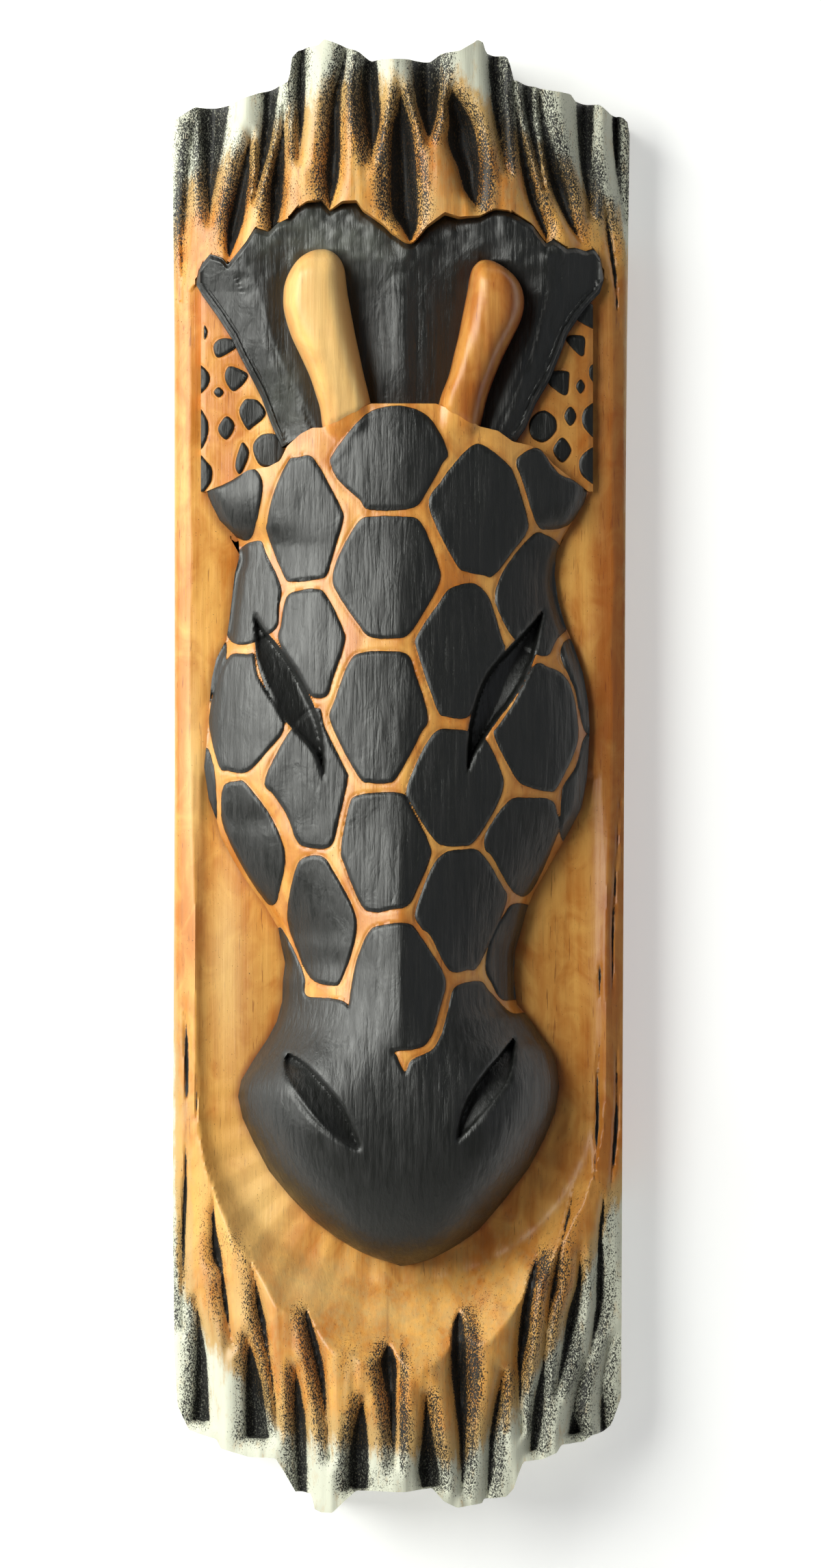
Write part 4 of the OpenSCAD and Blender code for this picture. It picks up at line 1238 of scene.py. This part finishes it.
    def depth(self, x: np.ndarray, z: np.ndarray) -> np.ndarray:
        """Depth of the face before its slits: a keel that falls away to both sides.

        With t the share of the way from the keel to the side, the fall is
        1 - a t - (0.86 - a) t^b, a being 0.4 and b 2.6, with less a and more b on the muzzle;
        the keel is sharp between the cheeks and rounder on the forehead and the muzzle.

        Args:
            x: places across.
            z: places up.

        Returns:
            One depth for each place.
        """
        left = -along(flowing(Shape.head_left, closed=False), z)
        right = along(flowing(Shape.head_right, closed=False), z)
        t = np.abs(x) / np.maximum(np.where(x < 0, left, right), 1)
        soft = 0.03 + 0.12 * ease(z, -20, 60) + 0.05 * ease(-z, 85, 125)
        slope = 0.4 - 0.3 * ease(-z, 70, 108)
        t = np.clip(np.sqrt(t**2 + soft**2) - soft * (1 - t), 0, 1)
        share = along(flowing(self.shares, closed=False), z)
        bend = 2.6 + 1.0 * ease(-z, 84, 104)
        fall = 1 - slope * t - (0.86 - slope) * t**bend
        rim = 0.06 * ease(t, 0.93, 1.0)
        full = (self.sizes.mask_d - self.sizes.seat_d) * share
        depth = self.sizes.seat_d + full * (fall - rim)
        depth += 0.35 * lumps(x, z, 9, 16, 31) + 0.12 * lumps(x, z, 3, 8, 32)
        depth += patches(x, z, self.swells)
        foot = np.maximum(
            horn_field(x, z, Shape.horn_left, self.sizes.seat_d + 12, 15.5),
            horn_field(x, z, Shape.horn_right, self.sizes.seat_d + 12, 15.5))
        foot = foot - 0.55 * np.maximum(118 - z, 0)
        lift = np.maximum(foot - depth, -3) + 3
        return depth + lift**2 / 12 * (lift < 6) + (lift - 3) * (lift >= 6)

    def _face(self) -> bpy.types.Object:
        """The face: rows from the chin up that bend to follow the brow.

        Cells stand proud of the stained lines between them. A slit is a wedge that is
        deepest along its inner side and runs out towards its outer side.

        Returns:
            The piece.
        """
        level = np.linspace(-167.2, HEAD_TOP, self.face_rows)
        u, zz = np.meshgrid(np.linspace(0, 1, self.face_cols), level)
        left, right = along(Shape.head_left, zz), along(Shape.head_right, zz)
        x = left + (right - left) * u
        bend = np.clip((zz - 50) / (HEAD_TOP - 50), 0, 1) ** 1.3
        z = zz + (along(Shape.brow, x) - HEAD_TOP) * bend
        slit, ink = nearest(x, z, self.slits), nearest(x, z, self.cells)
        depth = self.depth(x, z)
        depth += self.paint_d * ease(-ink, -0.5, 0.7)
        depth -= 0.5 * ease(-np.abs(ink), -0.9, 0.0)
        from_nose = 0.78 * (np.abs(x) - 27) - 0.63 * (z + 109)
        from_eye = 0.92 * (np.abs(x) - 38) - 0.39 * (z - 27)
        outward = np.where(z < -80, from_nose, from_eye)
        wedge = np.clip(0.55 - outward / 9, 0, 1) ** 0.8 * ease(-slit, 0, 1.3)
        depth -= self.slit_d * wedge + 0.5 * ease(-np.abs(slit), -1, 0)
        edge = np.minimum(u, 1 - u) * (right - left)
        # painted shade: darker along the face's edges, along the web next to the raised cells and
        # over its right side, away from the light
        corner = 0.3 * ease(-edge, -2.4, 0) + 0.22 * ease(-ink, -1.6, 0.2)
        corner += 0.3 * ease(x, 20, 60)
        fields = {"ink": ink_of(np.minimum(ink, slit - 0.2)), "corner": corner}
        piece = Carving("face_carving", *self.sizes.places(x, z), depth, self.sizes.seat_d,
                        fields).build()
        dress(piece, PaintedWood("black_lacquer", gloss_ior=self.lacquer_ior),
              SawnBack("head_back"))
        return piece

    def _crown(self) -> bpy.types.Object:
        """The crown: columns from the brow and the shoulders' outer edges up to the lip.

        It is flat between two creases and falls away outside them, with a keel up its
        middle, a shallow moat round each horn, chisel marks under the lip and a bead along
        each shoulder's edge.

        Returns:
            The piece.
        """
        xs = np.linspace(-69.8, 69.3, self.crown_cols)
        inner = [p for p in Shape.brow if -36 < p[0] < 36]
        under = Shape.shoulder_left + inner + Shape.shoulder_right
        top, low = along(Shape.lip, xs), along(under, xs)
        x, v = np.meshgrid(xs, np.linspace(0, 1, self.crown_rows))
        z = low + (np.maximum(top - 0.1, low + 0.6) - low) * v
        out = np.maximum(along(self.crease_left, z) - x, x - along(self.crease_right, z))
        depth = self.sizes.crown_d - 0.5 * np.maximum(out, 0) - 0.5 * ease(-np.abs(out), -2, 0)
        horns = np.minimum(self._gap(x, z, Shape.horn_left), self._gap(x, z, Shape.horn_right))
        moat = (1.1 + 1.2 * ease(x, 0, 20)) * np.exp(-np.maximum(horns, 0) / 4)
        depth -= moat * (out < 0)
        keel = np.clip(1 - np.abs(x - 1) / 13, 0, 1)
        depth += 2.2 * keel * ease(z, 122, 140) * ease(-z, -196, -176)
        from_lip = top - z
        rough = np.exp(-np.maximum(from_lip, 0) / 13)
        chisel = lumps(x, z, 3, 2.6, 42)
        depth += (1.1 * lumps(x, z, 6.5, 5, 41) + 0.5 * chisel) * rough * (out < 4)
        depth += patches(x, z, [(-16, 180, 18, 13, 1.4), (30, 178, 14, 12, 1.0)]) * (out < 0)
        depth += 0.35 * lumps(x, z, 3.2, 26, 43) * (1 - rough) - 1.5 * ease(-from_lip, -2.2, 0)
        left = Shape.shoulder_left + [(-20, 112), (-20, 200), (-70, 200)]
        right = Shape.shoulder_right + [(69.5, 200), (20, 200), (20, 113)]
        rims = [np.abs(signed_distance(x, z, np.asarray(line), 4)) for line in (left, right)]
        rim = np.minimum(*rims) + 9 * (out < 3)
        depth += 0.9 * np.exp(-((rim - 1.1) / 0.8) ** 2)
        depth = np.maximum(depth, self.sizes.seat_d + 2)
        # painted highlight: the black greyed on the crown's lit left, broken up by the chisel
        # marks
        sun = np.clip(patches(x, z, self.crown_highlights), 0, 1)
        sun = np.clip(sun * (0.75 + 0.5 * chisel) * ease(-x, -8, 0), 0, 1)
        piece = Carving("crown_carving", *self.sizes.places(x, z), depth, self.sizes.seat_d,
                        {"sun": sun}).build()
        dress(piece, PaintedWood("crown_lacquer", Cover.ALL, gloss_ior=self.lacquer_ior),
              SawnBack("crown_back"))
        return piece

    @staticmethod
    def _gap(x: np.ndarray, z: np.ndarray, stations: Stations) -> np.ndarray:
        """Distance outside a horn's edges.

        Args:
            x: places across.
            z: places up.
            stations: the horn's edges, [z, left x, right x], from the foot up.

        Returns:
            One distance for each place.
        """
        line = flowing(stations, closed=False, per=6)
        left, right = sides(line, z)
        side = np.maximum(left - x, x - right)
        return np.hypot(np.maximum(side, 0), np.maximum(z - line[-1, 0], 0))

    def build(self) -> list[bpy.types.Object]:
        """Makes and dresses both pieces.

        Returns:
            The face and the crown.
        """
        made = [self._face(), self._crown()]
        for piece in made:
            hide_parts("giraffe_head")
        return made


@dataclass
class Horns:
    """The two bare horns, standing on the crown and running into the forehead."""

    sizes: Sizes
    cols: int = 57
    rows: int = 161
    foot_z: float = 109.0
    rise: float = 16.6

    def _one(self, name: str, node: str, stations: Stations) -> bpy.types.Object:
        """One horn: rows across, close together at the tip, with a rounded section.

        Args:
            name: the piece's name.
            node: the part it stands for.
            stations: the horn's edges, [z, left x, right x], from the foot up.

        Returns:
            The piece.
        """
        line = flowing(stations, closed=False, per=6)
        turn = np.linspace(0, math.pi / 2, self.rows)
        level = self.foot_z + (line[-1, 0] - self.foot_z) * np.sin(turn) ** 0.9
        u, z = np.meshgrid(np.sin(np.linspace(-math.pi / 2, math.pi / 2, self.cols)), level)
        left, right = sides(line, z)
        x = (left + right) / 2 + u * (right - left) / 2
        base = self.sizes.crown_d - 1
        depth = horn_field(x, z, stations, base, self.rise)
        depth += 0.28 * lumps(x, z, 5, 17, 51) + 0.1 * lumps(x, z, 1.6, 30, 52)
        below = along(Shape.brow, x) - z
        sunk = 1.6 * ease(below, -1, 3) + 0.25 * np.maximum(below - 2, 0)
        depth = np.maximum(depth - sunk, base - 2)
        # painted shade at the horn's edges and on its right half, heavier over the right horn,
        # away from the light; the thin streaks in it are grain
        corner = 0.35 * ease(np.abs(u), 0.9, 1.0) + 0.05 * ease(u, 0.0, 0.9)
        corner += (x > 0) * (0.24 + 0.34 * ease(u, -0.6, 0.5))
        corner += 0.3 * np.clip(lumps(x, z, 1.5, 34, 53), 0, 1)
        # painted highlight on the lit left horn
        sun = 0.34 + 0.3 * ease(-np.abs(u), -0.7, -0.1) + 0.5 * ease(u, 0.25, 0.65)
        piece = Carving(name, *self.sizes.places(x, z), depth, base - 3,
                        {"corner": corner, "sun": (x < 0) * sun}).build()
        dress(piece, PaintedWood(name + "_stain", Cover.NONE), SawnBack(name + "_back"))
        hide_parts(node)
        return piece

    def build(self) -> list[bpy.types.Object]:
        """Makes and dresses both horns.

        Returns:
            The left and the right horn.
        """
        return [self._one("left_horn_carving", "left_horn", Shape.horn_left),
                self._one("right_horn_carving", "right_horn", Shape.horn_right)]


@dataclass
class Ears:
    """The two spotted ears, thin plates outside the crown's shoulders."""

    sizes: Sizes
    cols: int = 65
    rows: int = 145
    inner_d: float = 31.0
    outer_d: float = 27.0
    gap: float = 0.15

    left_spots: list[Line] = field(default_factory=lambda: [
        [(-67.2, 154), (-66, 151.5), (-67.2, 149)],
        [(-64, 146), (-63, 148.5), (-60.5, 149.5), (-57.5, 149), (-56, 147), (-57.5, 145.2),
         (-62.5, 142.8)],
        [(-69, 140), (-66, 138), (-65.2, 135.5), (-66.5, 132.5), (-69, 131)],
        [(-59.5, 139), (-57.5, 139.8), (-52.7, 137.5), (-52.3, 135.8), (-54.5, 133),
         (-57.5, 131.5), (-60, 135.5)],
        [(-62.2, 132.8), (-60.5, 131), (-62.2, 129.2), (-63.9, 131)],
        [(-53.5, 128), (-51.5, 128.7), (-48.5, 127.8), (-46, 123.3), (-50.5, 119),
         (-52.5, 118.4), (-55.2, 124)],
        [(-59.5, 122.8), (-56.7, 119.5), (-59.5, 114.8), (-62.4, 118.5)],
        [(-69, 125), (-66.6, 122.5), (-65.7, 119), (-66.6, 114.5), (-69, 112)],
        [(-50.5, 112), (-47.5, 116.4), (-42, 116), (-39.4, 111), (-42.5, 105.8), (-48, 106)],
        [(-55, 112), (-53.8, 113.8), (-51.8, 110.5), (-53, 106), (-55, 103), (-56.5, 106)],
        [(-69, 109), (-66.5, 107.5), (-64.5, 104.5), (-65, 100), (-69, 96.5)],
    ])
    right_spots: list[Line] = field(default_factory=lambda: [
        [(59.5, 157), (61, 155), (67, 152.8), (66, 160.5), (62, 161)],
        [(57, 150), (59, 150.5), (62.5, 149.8), (62.8, 146), (62.3, 143.5), (60.5, 144),
         (56.5, 148.5)],
        [(67, 141), (64.8, 140), (64.2, 138), (64.8, 135.5), (67, 134)],
        [(51.5, 138), (57, 138), (57.3, 135), (57, 131), (55.5, 130), (51, 133), (50.3, 135.5)],
        [(61.3, 135.5), (62.8, 133), (61.3, 130.5), (59.8, 133)],
        [(57.8, 126.1), (59.9, 122.8), (57.8, 119.5), (55.7, 122.8)],
        [(67, 127), (63, 125.5), (61.8, 122), (62.8, 118.5), (67, 115.5)],
        [(48.5, 124.6), (52.6, 122), (52.8, 117.5), (48.5, 113.8), (44.4, 116), (44.2, 121.5)],
        [(55, 115.5), (58.1, 111.2), (55, 106.9), (51.9, 111.2)],
        [(67, 112), (62.3, 110), (60.8, 106.5), (62, 102.5), (67, 100)],
    ])

    def _one(self, side: int) -> bpy.types.Object:
        """One ear: columns from the brow up to the shoulder's outer edge.

        Args:
            side: -1 for the left ear, 1 for the right.

        Returns:
            The piece.
        """
        if side < 0:
            xs, edge, spots = (-68.3, -38.6), Shape.shoulder_left, self.left_spots
            name, node = "left_ear_carving", "left_ear"
        else:
            xs, edge, spots = (38.6, 65.6), Shape.shoulder_right, self.right_spots
            name, node = "right_ear_carving", "right_ear"
        xs = np.linspace(*xs, self.cols)
        low, top = along(Shape.brow, xs) + self.gap, along(edge, xs) - self.gap
        x, v = np.meshgrid(xs, np.linspace(0, 1, self.rows))
        z = low + (np.maximum(top, low + 0.5) - low) * v
        across = np.clip((np.abs(x) - 40) / 29, 0, 1)
        depth = self.inner_d + (self.outer_d - self.inner_d) * across
        ink = nearest(x, z, spots)
        depth += 0.5 * ease(-ink, -0.5, 0.8) - 0.3 * ease(-np.abs(ink), -0.8, 0)
        depth += 0.3 * lumps(x, z, 6, 9, 61) - 0.5 * ease(np.abs(x) - np.abs(xs).max(), -1.6, 0)
        # painted shade just under the shoulder's edge and over the whole right ear, away from the
        # light
        corner = 0.45 * ease(z - top, -3.0, 0) + (0.34 if side > 0 else 0.0)
        piece = Carving(name, *self.sizes.places(x, z), depth, self.sizes.seat_d,
                        {"ink": ink_of(ink), "corner": corner}).build()
        dress(piece, PaintedWood(name + "_paint"), SawnBack(name + "_back"))
        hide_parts(node)
        return piece

    def build(self) -> list[bpy.types.Object]:
        """Makes and dresses both ears.

        Returns:
            The left and the right ear.
        """
        return [self._one(-1), self._one(1)]


@dataclass
class Hanger:
    """Strap, ring and screws in the pocket at the back, kept as they come and plated."""

    finishes: dict[str, PlatedSteel] = field(default_factory=lambda: {
        "hanger_strap": PlatedSteel("strap_plate"),
        "hanger_ring": PlatedSteel("ring_plate", bright=(228, 214, 176), shine=0.2),
        "hanger_screws": PlatedSteel("screw_plate", bright=(206, 200, 182), shine=0.32),
    })

    def dress(self) -> list[bpy.types.Object]:
        """Gives each steel part its finish.

        Returns:
            The three parts.
        """
        made = []
        for name, finish in self.finishes.items():
            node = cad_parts[name]
            material = finish.make()
            if not node.material_slots:
                node.data.materials.append(material)
            for slot in node.material_slots:
                slot.material = material
            made.append(node)
        return made


# ---------------------------------------------------------------- the room


@dataclass
class Studio:
    """Pale wall and floor, a broad soft light from the left, and the camera in front."""

    centre: tuple[float, float, float] = (3.3, -30.0, -2.8)
    view_h: float = 535.0
    lens: float = 135.0
    sensor: float = 36.0
    key_power: float = 54.0
    fill_power: float = 1.3
    back_power: float = 14.0
    air: float = 0.09
    wall_rgb: Rgb = (240, 240, 240)
    wall_y: float = 0.6
    wall_half: float = 1500.0
    floor_rgb: Rgb = (196, 195, 192)
    floor_z: float = -1400.0
    floor_half: float = 3000.0

    def _plane(self, name: str, corners: np.ndarray, rgb: Rgb, glow: float,
               one_sided: bool) -> bpy.types.Object:
        """A flat stage plane that may be open from behind.

        Args:
            name: the plane's name.
            corners: its four corners.
            rgb: its colour.
            glow: light that it gives off.
            one_sided: whether it is clear from behind.

        Returns:
            The plane.
        """
        mesh = bpy.data.meshes.new(name)
        mesh.from_pydata((corners * MM).tolist(), [], [[0, 1, 2, 3]])
        plane = bpy.data.objects.new(name, mesh)
        bpy.context.scene.collection.objects.link(plane)
        r = Recipe(name)
        r.shader.inputs["Base Color"].default_value = paint(rgb)
        r.shader.inputs["Roughness"].default_value = 1.0
        r.shader.inputs["Specular IOR Level"].default_value = 0.0
        r.shader.inputs["Emission Color"].default_value = (1, 1, 1, 1)
        r.shader.inputs["Emission Strength"].default_value = glow
        if one_sided:
            clear = r.nodes.new("ShaderNodeBsdfTransparent")
            both = r.nodes.new("ShaderNodeMixShader")
            facing = r.nodes.new("ShaderNodeNewGeometry").outputs["Backfacing"]
            out = next(n for n in r.nodes if n.type == "OUTPUT_MATERIAL")
            r.links.new(facing, both.inputs[0])
            r.links.new(r.shader.outputs[0], both.inputs[1])
            r.links.new(clear.outputs[0], both.inputs[2])
            r.links.new(both.outputs[0], out.inputs["Surface"])
        mesh.materials.append(r.material)
        return plane

    def _area(self, name: str, place: tuple[float, float, float], size: tuple[float, float],
              power: float, rgb: tuple[float, float, float]) -> None:
        """An area light aimed at the middle of the object.

        Args:
            name: the light's name.
            place: where it stands, in metres.
            size: its width and height, in metres.
            power: its power in watts.
            rgb: its colour.
        """
        data = bpy.data.lights.new(name, "AREA")
        data.shape = "RECTANGLE"
        data.size, data.size_y = size
        data.energy = power
        data.color = rgb
        light = bpy.data.objects.new(name, data)
        bpy.context.scene.collection.objects.link(light)
        spot = np.asarray(place, float)
        light.location = spot
        aim = np.asarray(self.centre) * MM - spot
        light.rotation_euler = Vector(aim.tolist()).to_track_quat("-Z", "Y").to_euler()

    def build(self) -> None:
        """Sets the wall, floor, lights, surrounding air and camera."""
        y, w, f, z = self.wall_y, self.wall_half, self.floor_half, self.floor_z
        self._plane("wall", np.array([[-w, y, z], [w, y, z], [w, y, w], [-w, y, w]]),
                    self.wall_rgb, 0.4, True)
        self._plane("floor", np.array([[-f, -f, z], [f, -f, z], [f, f, z], [-f, f, z]]),
                    self.floor_rgb, 0.0, False)
        self._area("key", (-1.32, -1.08, 0.56), (1.6, 1.4), self.key_power, (0.985, 1.0, 0.945))
        self._area("fill", (1.3, -1.2, 0.1), (1.2, 1.2), self.fill_power, (0.86, 0.92, 1.0))
        self._area("back", (-0.9, 1.3, 0.5), (1.2, 1.2), self.back_power, (1.0, 0.99, 0.97))
        world = bpy.data.worlds.new("air")
        world.use_nodes = True
        shade = world.node_tree.nodes["Background"]
        shade.inputs[0].default_value = (0.97, 0.985, 1.0, 1.0)
        shade.inputs[1].default_value = self.air
        bpy.context.scene.world = world
        bpy.context.scene.view_settings.view_transform = "Standard"
        data = bpy.data.cameras.new("camera")
        data.lens, data.sensor_width = self.lens, self.sensor
        data.clip_end = 100.0
        camera = bpy.data.objects.new("camera", data)
        bpy.context.scene.collection.objects.link(camera)
        x, y, z = self.centre
        away = self.view_h / 2 / (data.sensor_width / 2 / data.lens)
        camera.location = (x * MM, (y - away) * MM, z * MM)
        camera.rotation_euler = (math.pi / 2, 0, 0)
        bpy.context.scene.camera = camera


def main() -> None:
    """Builds the room and every part, and reports each piece."""
    logging.basicConfig(level=logging.INFO, format="%(name)s: %(message)s")
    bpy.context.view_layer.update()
    Studio().build()
    sizes = Sizes.from_frame()
    pieces: list[bpy.types.Object] = []
    for part in (LogSlab(sizes), GiraffeHead(sizes), Horns(sizes), Ears(sizes)):
        pieces += part.build()
    for piece in pieces:
        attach(piece, "mask")
        piece.data.calc_loop_triangles()
        log.info("%s: %d triangles", piece.name, len(piece.data.loop_triangles))
    for part in Hanger().dress():
        log.info("%s: plated", part.name)


if __name__ == "__main__":
    main()
